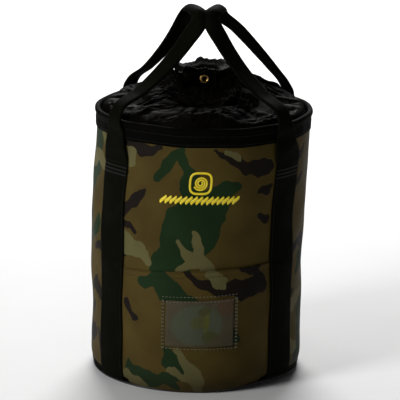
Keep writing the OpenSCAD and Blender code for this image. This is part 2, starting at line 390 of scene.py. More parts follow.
def nylon_surface():
    """Light crumpled nylon with a slight gloss."""
    tone = tones().nylon

    def paint(tree):
        cloud = tree.noise(tree.object_place(), 40, 4.0).step(0.3, 0.75)
        return tree.mix(cloud, scaled(tone, 0.7), scaled(tone, 1.7))

    def rough(tree):
        return tree.noise(tree.object_place(), 55, 4.0) * 0.25 + 0.44

    def bump(tree):
        crumple = tree.noise(tree.object_place(), 95, 6.0, 0.62)
        fine = tree.bump(weave(tree, NYLON_THREAD), 0.12, 0.1 * MM)
        return tree.bump(crumple, 0.6, 1.8 * MM, fine)

    return surface("crumpled nylon", paint, rough, bump, Specular_IOR_Level=0.012)


def coated_surface(name, tone):
    """Coated base cloth and tape: plain weave with dusty wear."""

    def paint(tree):
        dust = tree.noise(tree.object_place(), 30, 6.0, 0.65).step(0.48, 0.8)
        return tree.mix(dust * 0.5, scaled(tone, 0.85), scaled(tone, 2.6))

    def rough(tree):
        return tree.noise(tree.object_place(), 40, 3.0) * 0.22 + 0.46

    def bump(tree):
        return tree.bump(tree.noise(tree.object_place(), 420, 3.0), 0.4, 0.3 * MM)

    return surface(name, paint, rough, bump)


def thread_surface(name, tone):
    """Twisted sewing thread."""

    def paint(tree):
        lay = tree.noise(tree.object_place(), 900, 2.0)
        return tree.mix(lay, scaled(tone, 0.6), scaled(tone, 1.4))

    def rough(tree):
        return tree.noise(tree.object_place(), 300, 2.0) * 0.15 + 0.45

    return surface(name, paint, rough, Specular_IOR_Level=0.2)


def ink_surface():
    """Yellow screen ink, a little thin over the weave."""
    tone = tones().ink

    def paint(tree):
        worn = tree.noise(tree.object_place(), 260, 5.0, 0.7).step(0.60, 0.82)
        return tree.mix(worn * 0.45, tone, scaled(tone, 0.42))

    def rough(tree):
        return tree.noise(tree.object_place(), 90, 3.0) * 0.2 + 0.38

    def bump(tree):
        return tree.bump(weave(tree, COATED_THREAD), 0.2, 0.12 * MM)

    return surface("screen ink", paint, rough, bump)


def vinyl_surface():
    """Clear flexible vinyl: nearly all see-through, with gloss and a few scratches."""
    material = bpy.data.materials.new("clear vinyl")
    material.use_nodes = True
    tree = Tree(material.node_tree)
    shader = material.node_tree.nodes["Principled BSDF"]
    shader.inputs["Base Color"].default_value = (0.045, 0.048, 0.026, 1)
    shader.inputs["Specular IOR Level"].default_value = 0.16
    place = tree.object_place()
    haze = tree.noise(place, 34, 5.0, 0.6).step(0.35, 0.8)
    scratch = tree.noise(tree.object_place((1, 1, 7)), 120, 3.0, 0.6).step(0.62, 0.70)
    clear, hazed, scratched = 0.04, 0.06, 0.05
    alpha = haze * hazed + scratch * scratched + clear
    rough = haze * 0.16 + 0.12
    bump = tree.bump(tree.noise(place, 20, 2.0), 0.35, 1.2 * MM)
    for socket, value in (("Alpha", alpha), ("Roughness", rough), ("Normal", bump)):
        material.node_tree.links.new(value.socket, shader.inputs[socket])
    return material


def card_surface():
    """A printed card: a pale oval and an olive leaf shape on grey-green stock, with nothing to read."""

    def blob(tree, place, centre, radii, turn):
        settings = {"vector_type": "TEXTURE"}
        inputs = {"Vector": place, "Location": (*centre, 0), "Rotation": (0, 0, turn), "Scale": (*radii, 1)}
        local = tree.add("ShaderNodeMapping", settings, inputs)
        across = tree.split(local, 0)
        along = tree.split(local, 1)
        return 1 - (across * across + along * along).math("SQRT").step(0.86, 1.02)

    def paint(tree):
        place = tree.cloth_place()
        stock = tree.mix(tree.noise(place, 60, 4.0), (0.046, 0.036, 0.018), (0.074, 0.057, 0.030))
        oval = blob(tree, place, (-0.004, 0.031), (0.036, 0.029), 0.12)
        result = tree.mix(oval * 0.9, stock, (0.058, 0.070, 0.042))
        leaf = blob(tree, place, (0.001, 0.035), (0.014, 0.0095), 0.3)
        stem = blob(tree, place, (0.0085, 0.034), (0.0040, 0.022), -0.06)
        result = tree.mix(leaf * 0.8, result, (0.060, 0.058, 0.010))
        result = tree.mix(stem * 0.8, result, (0.090, 0.088, 0.012))
        for centre, radii in (((0.006, 0.050), (0.009, 0.006)), ((0.013, 0.014), (0.011, 0.009))):
            result = tree.mix(blob(tree, place, centre, radii, 0.3) * 0.8, result, (0.046, 0.046, 0.008))
        corner = blob(tree, place, (0.035, 0.054), (0.013, 0.013), 0.2)
        return tree.mix(corner * 0.6, result, (0.075, 0.036, 0.014))

    def rough(tree):
        return tree.noise(tree.object_place(), 80, 3.0) * 0.2 + 0.5

    def bump(tree):
        return tree.bump(tree.noise(tree.object_place(), 700, 3.0), 0.1, 0.1 * MM)

    return surface("printed card", paint, rough, bump, Specular_IOR_Level=0.2)


def brass_surface():
    """Rolled brass, dulled in patches."""
    tone = tones().brass

    def paint(tree):
        tarnish = tree.noise(tree.object_place(), 320, 5.0, 0.6).step(0.5, 0.78)
        return tree.mix(tarnish * 0.6, tone, scaled(tone, 0.35))

    def rough(tree):
        return tree.noise(tree.object_place(), 260, 4.0) * 0.25 + 0.16

    def bump(tree):
        return tree.bump(tree.noise(tree.object_place(), 900, 3.0), 0.2, 0.1 * MM)

    return surface("rolled brass", paint, rough, bump, Metallic=1.0)


def rod_surface():
    """Extruded black rod with faint drawing lines."""

    def paint(tree):
        return tree.mix(tree.noise(tree.object_place(), 80, 4.0), (0.02, 0.02, 0.02), (0.05, 0.05, 0.05))

    def rough(tree):
        return tree.noise(tree.object_place((1, 1, 9)), 120, 3.0) * 0.2 + 0.35

    return surface("extruded rod", paint, rough)


def cord_surface():
    """Braided cord: two crossing spirals."""
    tone = scaled(tones().nylon, 2.2)

    def strands(tree):
        place = tree.cloth_place()
        around = tree.split(place, 0) * (math.tau / BRAID[0])
        along = tree.split(place, 1) * (math.tau / BRAID[1])
        return ((around + along).math("SINE") * (around - along).math("SINE")) * 0.5 + 0.5

    def paint(tree):
        return tree.mix(strands(tree), scaled(tone, 0.6), scaled(tone, 1.8))

    def rough(tree):
        return tree.noise(tree.object_place(), 200, 2.0) * 0.15 + 0.5

    def bump(tree):
        return tree.bump(strands(tree), 0.6, 0.4 * MM)

    return surface("braided cord", paint, rough, bump, Sheen_Weight=0.2)


MADE = {}


def finish_of(name):
    """The material of one finish, made the first time it is asked for."""
    if name not in MADE:
        tone = tones()
        makers = {
            "camo": camo_surface,
            "webbing": lambda: webbing_surface("ribbed webbing", tone.webbing, 3.4),
            "binding": lambda: webbing_surface("folded binding", tone.binding, 3.0),
            "nylon": nylon_surface,
            "base": lambda: coated_surface("coated base cloth", scaled(tone.binding, 1.3)),
            "thread": lambda: thread_surface("dark thread", tone.thread),
            "light thread": lambda: thread_surface("light thread", tone.light_thread),
            "ink": ink_surface,
            "vinyl": vinyl_surface,
            "card": card_surface,
            "brass": brass_surface,
            "rod": rod_surface,
            "cord": cord_surface,
        }
        MADE[name] = makers[name]()
    return MADE[name]


# --------------------------------------------------------------------------- soft shape of the bag


def smooth(value, low, high):
    """0 below low, 1 above high and a smooth rise between them."""
    t = np.clip((np.asarray(value, float) - low) / (high - low), 0, 1)
    return t * t * (3 - 2 * t)


def at(radius, bearing, height):
    """Places from their distance to the bag's axis, bearing and height."""
    radius, bearing, height = np.broadcast_arrays(radius, bearing, height)
    return np.stack([radius * np.sin(bearing), -radius * np.cos(bearing), height], -1).astype(float)


SLACK_BEARING = math.radians(42)                           # where the foot is slackest
SLACK_SPREAD = math.radians(27)
UPRIGHT_FROM = 0.21                                        # over this height it comes back under its rim


def leaned(places):
    """The soft body stands a little left of its rim, and its foot is slack on the right of the front."""
    moved = np.array(places, float)
    x, y, height = moved[..., 0].copy(), moved[..., 1], moved[..., 2].copy()
    moved[..., 0] -= shape().lean * (1 - smooth(height, UPRIGHT_FROM, RIM_TOP - 12 * MM))
    slack = np.exp(-(((np.arctan2(x, -y) - SLACK_BEARING) / SLACK_SPREAD) ** 2))
    slack = slack * smooth(np.hypot(x, y), 0.08, RADIUS)
    moved[..., 2] += shape().foot_lift * slack * (1 - smooth(height, -0.02, 0.10))
    return moved


# Waves of the wall: share of its ripple, number round the bag, phase, and turn for each metre of height.
WALL_WAVES = [(0.55, 2, 0.6, 15), (0.50, 5, 2.1, -34), (0.34, 9, 0.4, 58), (0.22, 14, 1.9, -81)]


def wall_radius(bearing, height):
    """Outer face of the wall: soft waves that die out at the rim, and a rounded lower edge."""
    bearing, height = np.broadcast_arrays(np.asarray(bearing, float), np.asarray(height, float))
    wave = sum(
        depth * np.sin(count * bearing + phase + climb * height) for depth, count, phase, climb in WALL_WAVES
    )
    free = smooth(height, 0.004, 0.05) * (1 - smooth(height, 0.29, RIM[0][2]))
    corner = shape().corner * np.clip(1 - height / (3.2 * shape().corner), 0, 1) ** 2
    return RADIUS + shape().ripple * wave * free - corner


POCKET_FRONT = -POCKET[0][1]                               # how far the pocket's face is from the axis
POCKET_CENTRE = 30.96 * MM                                 # the face is an arc about this point of the front
POCKET_ARC = POCKET_FRONT - POCKET_CENTRE
POCKET_EDGE = math.radians(42.7)
CARD_EDGE = (math.radians(23), math.radians(34))           # the pocket is flat inside the first, for the card


def pocket_mouth(bearing):
    """Height of the pocket's mouth, which rises to the right."""
    share = np.asarray(bearing, float) / POCKET_EDGE
    return POCKET[1][2] + shape().mouth_rise / 2 * (share - 0.15) + 1.2 * MM * np.cos(3 * share)


def pocket_radius(bearing, height):
    """Face of the pocket: it stands off the wall in the middle and closes in at its mouth and foot."""
    bearing = np.asarray(bearing, float)
    inside = np.clip(bearing, -POCKET_EDGE, POCKET_EDGE)
    arc = POCKET_CENTRE * np.cos(inside)
    arc = arc + np.sqrt(POCKET_ARC**2 - (POCKET_CENTRE * np.sin(inside)) ** 2)
    stand_off = arc - RADIUS
    height = np.asarray(height, float)
    mouth = 1 - (1 - shape().mouth_gap / (POCKET_FRONT - RADIUS)) * smooth(height, 0.132, 0.172)
    foot = 1 - 0.55 * (1 - smooth(height, 0.0, 0.030)) ** 2
    behind_card = smooth(height, 0.025, 0.055) * (1 - smooth(np.abs(bearing), *CARD_EDGE))
    puff = 0.5 * MM * np.sin(7 * bearing + 60 * height) * np.clip(stand_off / (6 * MM), 0, 1)
    wave = (wall_radius(bearing, height) - RADIUS) * (1 - 0.65 * smooth(height, 0.02, 0.05))
    face = RADIUS + stand_off * mouth * foot + (wave + puff * mouth) * (1 - behind_card)
    return np.maximum(face, wall_radius(bearing, height) + 0.7 * MM)


# --------------------------------------------------------------------------- the printed cloth

# Each stroke is a run of points on the cloth: across from the middle of the front, up from the base, and half
# the width of the patch there, all in millimetres.
WALL_PRINT = {
    "camo_green": [
        [(-26, 330, 6), (-46, 317, 10), (-61, 298, 6)],
        [(-26, 326, 6), (-20, 305, 10), (-16, 285, 13), (0, 266, 19), (22, 272, 17), (46, 286, 7)],
        [(30, 262, 16), (2, 244, 34), (-14, 222, 38), (-28, 190, 30), (-38, 166, 26)],
        [(-30, 148, 18), (-8, 130, 16), (20, 118, 10)],
    ],
    "camo_black": [
        [(-118, 328, 9), (-98, 329, 10), (-74, 333, 8), (-52, 337, 4)],
        [(84, 281, 4), (98, 274, 7)],
        [(88, 241, 4), (100, 236, 7)],
        [(20, 335, 3), (40, 320, 8), (62, 312, 10), (92, 310, 12)],
        [(-76, 274, 4), (-90, 257, 8), (-112, 238, 9)],
        [(-112, 223, 6), (-94, 219, 4)],
        [(70, 150, 12), (40, 140, 9), (60, 120, 14)],
        [(-100, 60, 12), (-70, 40, 8), (-60, 20, 12)],
    ],
    "camo_khaki": [
        [(-120, 200, 15), (-92, 194, 13), (-70, 190, 9), (-62, 182, 4)],
        [(-9, 226, 4), (0, 206, 7), (9, 189, 8), (22, 171, 5)],
        [(-26, 208, 3), (-14, 193, 7), (-4, 184, 8), (-18, 170, 5)],
        [(34, 331, 4), (47, 323, 6)],
        [(60, 80, 6), (90, 60, 11), (120, 70, 8)],
    ],
}
POCKET_PRINT = {
    "camo_green": [
        [(-70, 155, 9), (-48, 160, 13), (-36, 140, 15), (-8, 129, 10)],
        [(-36, 60, 6), (-34, 44, 13), (-22, 28, 10)],
        [(-92, 26, 10), (-58, 20, 12), (-30, 17, 9), (-20, 8, 5)],
        [(14, 122, 8), (34, 107, 11), (50, 76, 8)],
    ],
    "camo_black": [
        [(-8, 170, 4), (10, 156, 7), (30, 144, 9), (54, 146, 12), (84, 152, 16)],
        [(-100, 116, 5), (-84, 100, 6)],
        [(66, 176, 6), (90, 172, 6)],
    ],
    "camo_khaki": [
        [(20, 168, 6), (31, 157, 9), (36, 150, 5)],
        [(-24, 58, 5), (-9, 41, 9), (4, 22, 9), (12, 2, 5)],
        [(-36, 32, 4), (-19, 28, 5), (-2, 27, 6)],
        [(-96, 12, 10), (-70, 6, 9)],
    ],
}
# The wall's print is repeated round the bag. Each copy: shift across, shift up, mirrored across, turned over.
WALL_COPIES = [
    (0, 0, False, False),
    (262, 40, True, False),
    (-285, 0, False, True),
    (-250, -215, True, False),
    (420, -40, False, True),
    (-420, 60, False, False),
    (236, -150, False, False),
    (-228, 150, True, True),
]
CLOTH_HEIGHT = 365                                         # a copy is turned over in this height
FAR_OUTSIDE = -30.0                                        # the least depth that is kept, in millimetres


def stroke_depth(across, up, stroke):
    """How far inside a stroke each place is, in millimetres, and negative outside it."""
    depth = np.full(np.shape(across), -np.inf)
    for (ax, ay, aw), (bx, by, bw) in zip(stroke, stroke[1:]):
        dx, dy = bx - ax, by - ay
        share = np.clip(((across - ax) * dx + (up - ay) * dy) / (dx * dx + dy * dy), 0, 1)
        gap = np.hypot(across - ax - share * dx, up - ay - share * dy)
        depth = np.maximum(depth, aw + share * (bw - aw) - gap)
    return depth


def wobbled(across, up):
    """Cloth places moved a few millimetres along smooth curves, so that no patch has a straight side."""
    x = across + 3.2 * np.sin(up / 13.0 + 0.7) + 2.0 * np.sin(up / 6.1 + across / 17.0)
    y = up + 3.0 * np.sin(across / 11.0 + 1.3) + 2.0 * np.sin(across / 5.7 - up / 15.0)
    return x + 1.2 * np.sin(up / 3.3), y + 1.1 * np.sin(across / 2.9)


def print_depths(across, up, patterns, copies):
    """For each colour, how far inside one of its patches each place of the cloth is, in millimetres."""
    x, y = wobbled(across, up)
    round_bag = math.tau * RADIUS / MM
    found = {}
    for name, strokes in patterns.items():
        depth = np.full(np.shape(x), FAR_OUTSIDE)
        for shift, lift, mirrored, turned in copies:
            u = (x - shift + round_bag / 2) % round_bag - round_bag / 2
            v = y - lift
            u = -u if mirrored else u
            v = CLOTH_HEIGHT - v if turned else v
            for stroke in strokes:
                depth = np.maximum(depth, stroke_depth(u, v, stroke))
        found[name] = depth
    return found


# --------------------------------------------------------------------------- mesh building


def new_object(name, vertices, faces, finish):
    """A mesh object from its places and faces."""
    mesh = bpy.data.meshes.new(name)
    mesh.from_pydata([tuple(place) for place in vertices], [], faces)
    mesh.update()
    made = bpy.data.objects.new(name, mesh)
    bpy.context.scene.collection.objects.link(made)
    mesh.materials.append(finish_of(finish))
    mesh.shade_smooth()
    return made


def cloth_grid(name, places, cloth, finish, closed=False, round_across=False, fields=None):
    """A cloth from a grid of places, rows by columns. cloth gives each place's own coordinates in metres.

    closed joins the last column to the first, and round_across joins the last row to the first.
    """
    rows, columns = places.shape[:2]
    made_columns = columns if closed else columns - 1
    made_rows = rows if round_across else rows - 1
    faces = []
    corners = []
    for row in range(made_rows):
        for column in range(made_columns):
            ring = [(row, column), (row, column + 1), (row + 1, column + 1), (row + 1, column)]
            faces.append([(r % rows) * columns + c % columns for r, c in ring])
            corners.extend(ring)
    made = new_object(name, places.reshape(-1, 3), faces, finish)
    widened = np.empty((rows + 1, columns + 1, 2))
    widened[:rows, :columns] = cloth
    widened[:rows, columns] = 2 * cloth[:, -1] - cloth[:, -2]
    widened[rows] = 2 * widened[rows - 1] - widened[rows - 2]
    index = np.array(corners)
    layer = made.data.uv_layers.new(name="cloth")
    layer.data.foreach_set("uv", widened[index[:, 0], index[:, 1]].ravel())
    for field, values in (fields or {}).items():
        attribute = made.data.attributes.new(field, "FLOAT", "POINT")
        attribute.data.foreach_set("value", np.asarray(values, np.float32).ravel())
    return made


def outward(made, ends_open=False):
    """Closes a tube's open ends, if it has them, and turns a closed mesh's faces outwards."""
    work = bmesh.new()
    work.from_mesh(made.data)
    if ends_open:
        bmesh.ops.holes_fill(work, edges=[edge for edge in work.edges if edge.is_boundary])
    bmesh.ops.recalc_face_normals(work, faces=work.faces)
    work.to_mesh(made.data)
    work.free()
    made.data.update()


def applied(made, kind, **settings):
    """Adds a modifier and applies it."""
    modifier = made.modifiers.new(kind, kind)
    for name, value in settings.items():
        setattr(modifier, name, value)
    baked = bpy.data.meshes.new_from_object(made.evaluated_get(bpy.context.evaluated_depsgraph_get()))
    made.modifiers.clear()
    old = made.data
    made.data = baked
    bpy.data.meshes.remove(old)
    baked.name = made.name


def thicken(made, thickness, offset=-1.0):
    """Gives a cloth its thickness, by default on its inner side."""
    applied(made, "SOLIDIFY", thickness=thickness, offset=offset, use_even_offset=False, use_rim=True)


def place_on(made, body, slot, *nodes):
    """Rides on a body and stands for its nodes, which it hides; its slot is not used."""
    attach(made, body)
    if nodes:
        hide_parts(*nodes)


def ring_grid(profile, columns, bend=None):
    """Places and cloth coordinates of a profile of (radius, height) turned round the bag's axis."""
    profile = np.asarray(profile, float)
    bearing = np.linspace(-math.pi, math.pi, columns, endpoint=False)
    radius = np.repeat(profile[:, :1], columns, 1)
    height = np.repeat(profile[:, 1:], columns, 1)
    if bend:
        radius, height = bend(radius, bearing[None, :], height)
    steps = np.hypot(*np.diff(profile, axis=0).T)
    run = np.concatenate([[0], np.cumsum(steps)])
    cloth = np.stack(np.broadcast_arrays(bearing[None, :] * RADIUS, run[:, None]), -1)
    return leaned(at(radius, bearing[None, :], height)), cloth


def arc(centre, radius, start, end, count):
    """Points of an arc in a profile, with its angles in degrees."""
    angles = np.radians(np.linspace(start, end, count))
    return [(centre[0] + radius * math.cos(a), centre[1] + radius * math.sin(a)) for a in angles]


# --------------------------------------------------------------------------- stitches


def stitch_tree():
    """Geometry Nodes: one short bent thread at equal steps along each seam line."""
    group = bpy.data.node_groups.get("seam stitches")
    if group:
        return group
    group = bpy.data.node_groups.new("seam stitches", "GeometryNodeTree")
    sockets = group.interface
    sockets.new_socket("Seam", in_out="INPUT", socket_type="NodeSocketGeometry")
    for name in ("Pitch", "Stitch Length", "Thread Thickness"):
        sockets.new_socket(name, in_out="INPUT", socket_type="NodeSocketFloat")
    sockets.new_socket("Thread Material", in_out="INPUT", socket_type="NodeSocketMaterial")
    sockets.new_socket("Stitches", in_out="OUTPUT", socket_type="NodeSocketGeometry")
    tree = Tree(group)
    entry = group.nodes.new("NodeGroupInput")
    seam, pitch, run, thick, material = (Wire(tree, entry.outputs[i]) for i in range(5))
    line = tree.add("GeometryNodeMeshToCurve", None, {0: seam})
    points = tree.add("GeometryNodeResampleCurve", {"mode": "LENGTH"}, {"Curve": line, "Length": pitch})
    sphere = tree.add("GeometryNodeMeshUVSphere", None, {"Segments": 7, "Rings": 4, "Radius": 0.5})
    size = tree.add("ShaderNodeCombineXYZ", None, {0: thick, 1: thick, 2: run})
    tangent = tree.add("GeometryNodeInputTangent")
    turn = tree.add("FunctionNodeAlignRotationToVector", {"axis": "Z"}, {"Vector": tangent})
    jitter = tree.add(
        "FunctionNodeRandomValue", {"data_type": "FLOAT"}, {"Min": 0.88, "Max": 1.08, "Seed": 5}, output=1
    )
    grown = tree.add("ShaderNodeVectorMath", {"operation": "SCALE"}, {0: size, "Scale": jitter})
    inputs = {"Points": points, "Instance": sphere, "Rotation": turn, "Scale": grown}
    copies = tree.add("GeometryNodeInstanceOnPoints", None, inputs)
    real = tree.add("GeometryNodeRealizeInstances", None, {0: copies})
    painted = tree.add("GeometryNodeSetMaterial", None, {"Geometry": real, "Material": material})
    leave = group.nodes.new("NodeGroupOutput")
    group.links.new(painted.socket, leave.inputs[0])
    return group


def stitches(name, seams, finish, pitch=None, run=None, thick=None):
    """Stitches along seam lines, each a run of places. They become one plain mesh."""
    vertices = []
    edges = []
    for seam in seams:
        first = len(vertices)
        vertices.extend(tuple(place) for place in seam)
        edges.extend((first + i, first + i + 1) for i in range(len(seam) - 1))
    mesh = bpy.data.meshes.new(name)
    mesh.from_pydata(vertices, edges, [])
    made = bpy.data.objects.new(name, mesh)
    bpy.context.scene.collection.objects.link(made)
    modifier = made.modifiers.new("Stitches", "NODES")
    modifier.node_group = stitch_tree()
    size = shape()
    values = {
        "Pitch": pitch or size.pitch,
        "Stitch Length": run or size.stitch,
        "Thread Thickness": thick or size.thread,
        "Thread Material": finish_of(finish),
    }
    for item in modifier.node_group.interface.items_tree:
        if item.name in values:
            modifier[item.identifier] = values[item.name]
    baked = bpy.data.meshes.new_from_object(made.evaluated_get(bpy.context.evaluated_depsgraph_get()))
    made.modifiers.clear()
    made.data = baked
    bpy.data.meshes.remove(mesh)
    baked.name = name
    baked.shade_smooth()
    return made


# --------------------------------------------------------------------------- wall, base and rim


def make_wall():
    """The printed wall: one soft sheet rolled into a tube, with its thickness inside."""
    columns, rows = 300, 112
    bearing = np.linspace(-math.pi, math.pi, columns, endpoint=False)[None, :]
    height = np.linspace(BODY[0][2], WALL_TOP, rows)[:, None]
    radius = wall_radius(bearing, height)
    across, up = np.broadcast_arrays(bearing * RADIUS, height)
    cloth = np.stack([across, up], -1)
    fields = print_depths(across / MM, up / MM, WALL_PRINT, WALL_COPIES)
    wall = cloth_grid(
        "bag_wall", leaned(at(radius, bearing, height)), cloth, "camo", closed=True, fields=fields
    )
    thicken(wall, 1.2 * MM)
    place_on(wall, "bag", "camo_coated_fabric", "body_panel")


def make_seam_tape():
    """Tape over the wall's seam, inside at the back."""
    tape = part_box("back_seam_tape")
    half = (tape[1][0] - tape[0][0]) / 2 / RADIUS
    bearing = math.pi + np.linspace(-half, half, 9)[None, :]
    height = np.linspace(tape[0][2], tape[1][2], 60)[:, None]
    radius = wall_radius(bearing, height) - 1.3 * MM
    cloth = np.stack(np.broadcast_arrays(bearing * RADIUS, height), -1)
    strip = cloth_grid("seam_tape", leaned(at(radius, bearing, height)), cloth, "base")
    thicken(strip, 0.7 * MM)
    place_on(strip, "bag", "base_fabric", "back_seam_tape")


def make_base():
    """The doubled base: a disc that crowns slightly between its rim and its middle, closed at both poles."""
    reach = RADIUS - 4.5 * MM
    crown, off_floor, half = 0.8 * MM, 0.3 * MM, 1.5 * MM
    shares = np.linspace(0.004, 1, 16)
    under = [(reach * share, crown * math.sin(math.pi * share) ** 2 + off_floor) for share in shares]
    over = [(radius, height + 2 * half) for radius, height in reversed(under)]
    edge = arc((reach, off_floor + half), half, -70, 70, 5)
    places = ring_grid(under + edge + over, 96)[0]
    disc = cloth_grid("base_disc", places, places[..., :2].copy(), "base", closed=True)
    outward(disc, ends_open=True)
    place_on(disc, "bag", "base_fabric", "base_panel")


def make_base_binding():
    """Binding wrapped round the lower corner of the wall, with its row of stitches."""
    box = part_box("base_binding")
    top = box[1][2]
    lip = RADIUS - 9 * MM
    corner = [(RADIUS - 5 * MM, 0.4 * MM), (RADIUS - 2.5 * MM, 1.6 * MM), (RADIUS - 0.6 * MM, 4.2 * MM)]
    outer = [(lip, 0.25 * MM)] + corner + [(RADIUS, 8 * MM), (RADIUS, top - 0.6 * MM), (RADIUS, top)]

    def follow(radius, bearing, height):
        on_wall = smooth(height, 0.3 * MM, 4 * MM)
        wanted = wall_radius(bearing, height) + 1.0 * MM - 0.5 * MM * smooth(height, top - 2 * MM, top)
        radius = radius * (1 - on_wall) + wanted * on_wall
        return radius, height + 0.5 * MM * np.sin(13 * bearing) * smooth(height, 6 * MM, top)

    places, cloth = ring_grid(outer, 240, follow)
    band = cloth_grid("base_binding_tape", places, cloth, "binding", closed=True)
    thicken(band, 1.0 * MM)
    place_on(band, "bag", "rim_binding", "base_binding")
    bearing = np.linspace(-math.pi, math.pi, 400)
    height = np.full(400, top - 3 * MM)
    row = leaned(at(wall_radius(bearing, height) + 1.1 * MM, bearing, height))
    seam = stitches("base_stitches", [row], "thread")
    place_on(seam, "bag", "sewing_thread")


def rim_wave(bearing, height):
    """How far the rim band stands proud, in metres: small puckers from its stitching."""
    puckers = 0.35 * np.sin(23 * bearing + 1.1) + 0.25 * np.sin(41 * bearing - 0.5)
    puckers = puckers + 0.5 * np.sin(7 * bearing)
    return 0.45 * MM * puckers * (1 - smooth(height, HOOP_Z - 8 * MM, HOOP_Z))


def rim_sway(bearing):
    """How far the rim band rises and falls along its length, in metres."""
    return 0.5 * MM * np.sin(11 * bearing + 0.7)


def make_rim():
    """The rim band: webbing folded over the hoop and sewn through the wall."""
    low = RIM[0][2]
    roll = HOOP_ROD + 1.5 * MM
    centre = (HOOP_RADIUS, HOOP_Z)
    outer_x = RADIUS + 1.5 * MM
    inner_x = RADIUS - 3.0 * MM
    under_roll = HOOP_Z - roll - 2.6 * MM
    slot = (RADIUS - 1.3 * MM, RADIUS + 0.1 * MM)          # between its two plies, for the wall
    profile = [(outer_x - 0.8 * MM, low + 0.2 * MM), (outer_x, low + 0.8 * MM)]
    profile += [(outer_x + 0.3 * MM, low + 3 * MM), (outer_x - 0.1 * MM, low + 5 * MM)]
    profile += [(outer_x + 0.5 * MM, low + 10 * MM), (outer_x - 0.1 * MM, under_roll)]
    profile += arc(centre, roll, -38, 218, 17)
    profile += [(inner_x, under_roll), (inner_x - 0.3 * MM, low + 8 * MM), (inner_x, low + 1 * MM)]
    profile += [(inner_x + 0.8 * MM, low + 0.2 * MM), (slot[0], low + 0.6 * MM), (slot[0], HOOP_Z - 6 * MM)]
    profile += [(slot[1], HOOP_Z - 6 * MM), (slot[1], low + 0.6 * MM)]

    def pucker(radius, bearing, height):
        return radius + rim_wave(bearing, height), height + rim_sway(bearing)

    places, cloth = ring_grid(profile, 360, pucker)
    swapped = cloth[..., ::-1].copy()
    band = cloth_grid("rim_binding_band", places, swapped, "binding", closed=True, round_across=True)
    outward(band)
    place_on(band, "bag", "rim_binding", "rim_band")
    bearing = np.linspace(-math.pi, math.pi, 400)
    rows = []
    for rise in (4 * MM, under_roll - low):
        height = low + rise + rim_sway(bearing)
        rows.append(leaned(at(outer_x + rim_wave(bearing, height) + 0.1 * MM, bearing, height)))
    seam = stitches("rim_stitches", rows, "thread")
    place_on(seam, "bag", "sewing_thread")
    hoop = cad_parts["rim_hoop"]
    hoop.data.materials.clear()
    hoop.data.materials.append(finish_of("rod"))


# --------------------------------------------------------------------------- straps and loops


def spline(values, stations, wanted):
    """Smooth values between stations, by Catmull-Rom with the stations' own spacing."""
    values = np.asarray(values, float)
    stations = np.asarray(stations, float)
    slopes = np.gradient(values, stations, axis=0)
    index = np.clip(np.searchsorted(stations, wanted, side="right") - 1, 0, len(stations) - 2)
    gap = stations[index + 1] - stations[index]
    t = ((wanted - stations[index]) / gap)[:, None]
    a, b = values[index], values[index + 1]
    m, n = slopes[index] * gap[:, None], slopes[index + 1] * gap[:, None]
    from_a, from_m = 2 * t**3 - 3 * t**2 + 1, t**3 - 2 * t**2 + t
    return from_a * a + from_m * m + (1 - from_a) * b + (t**3 - t**2) * n


FOLDED_SHARE = 0.46                                        # width of the folded loop, of the flat webbing's
FOLD_BEND = 1.35 * MM                                      # radius at which the webbing's edges are folded in
GRIP_CUP = 6 * MM                                          # how far the grip's edges curl down
WEBBING_STEP = 2.0 * MM                                    # from one cross-section to the next
SECTION_POINTS = 31                                        # across the flat webbing
LAID_TO = TACK_TOP + 4 * MM                                # up to here the webbing lies on the wall
ROUND_TO = TACK_TOP + 40 * MM                              # and up to here it keeps some of the wall's curve


def strap_stand_off(bearing, height):
    """Centre of a sewn strap's thickness: on the wall, the binding at its foot and the pocket's edge."""
    half = shape().strap_thick / 2
    over_binding = 1.1 * MM * (1 - smooth(height, 9 * MM, 18 * MM))
    over_pocket = 0.7 * MM * (1 - smooth(height, POCKET[1][2] - 4 * MM, POCKET[1][2] + 8 * MM))
    return wall_radius(bearing, height) + half + 0.1 * MM + np.maximum(over_binding, over_pocket)


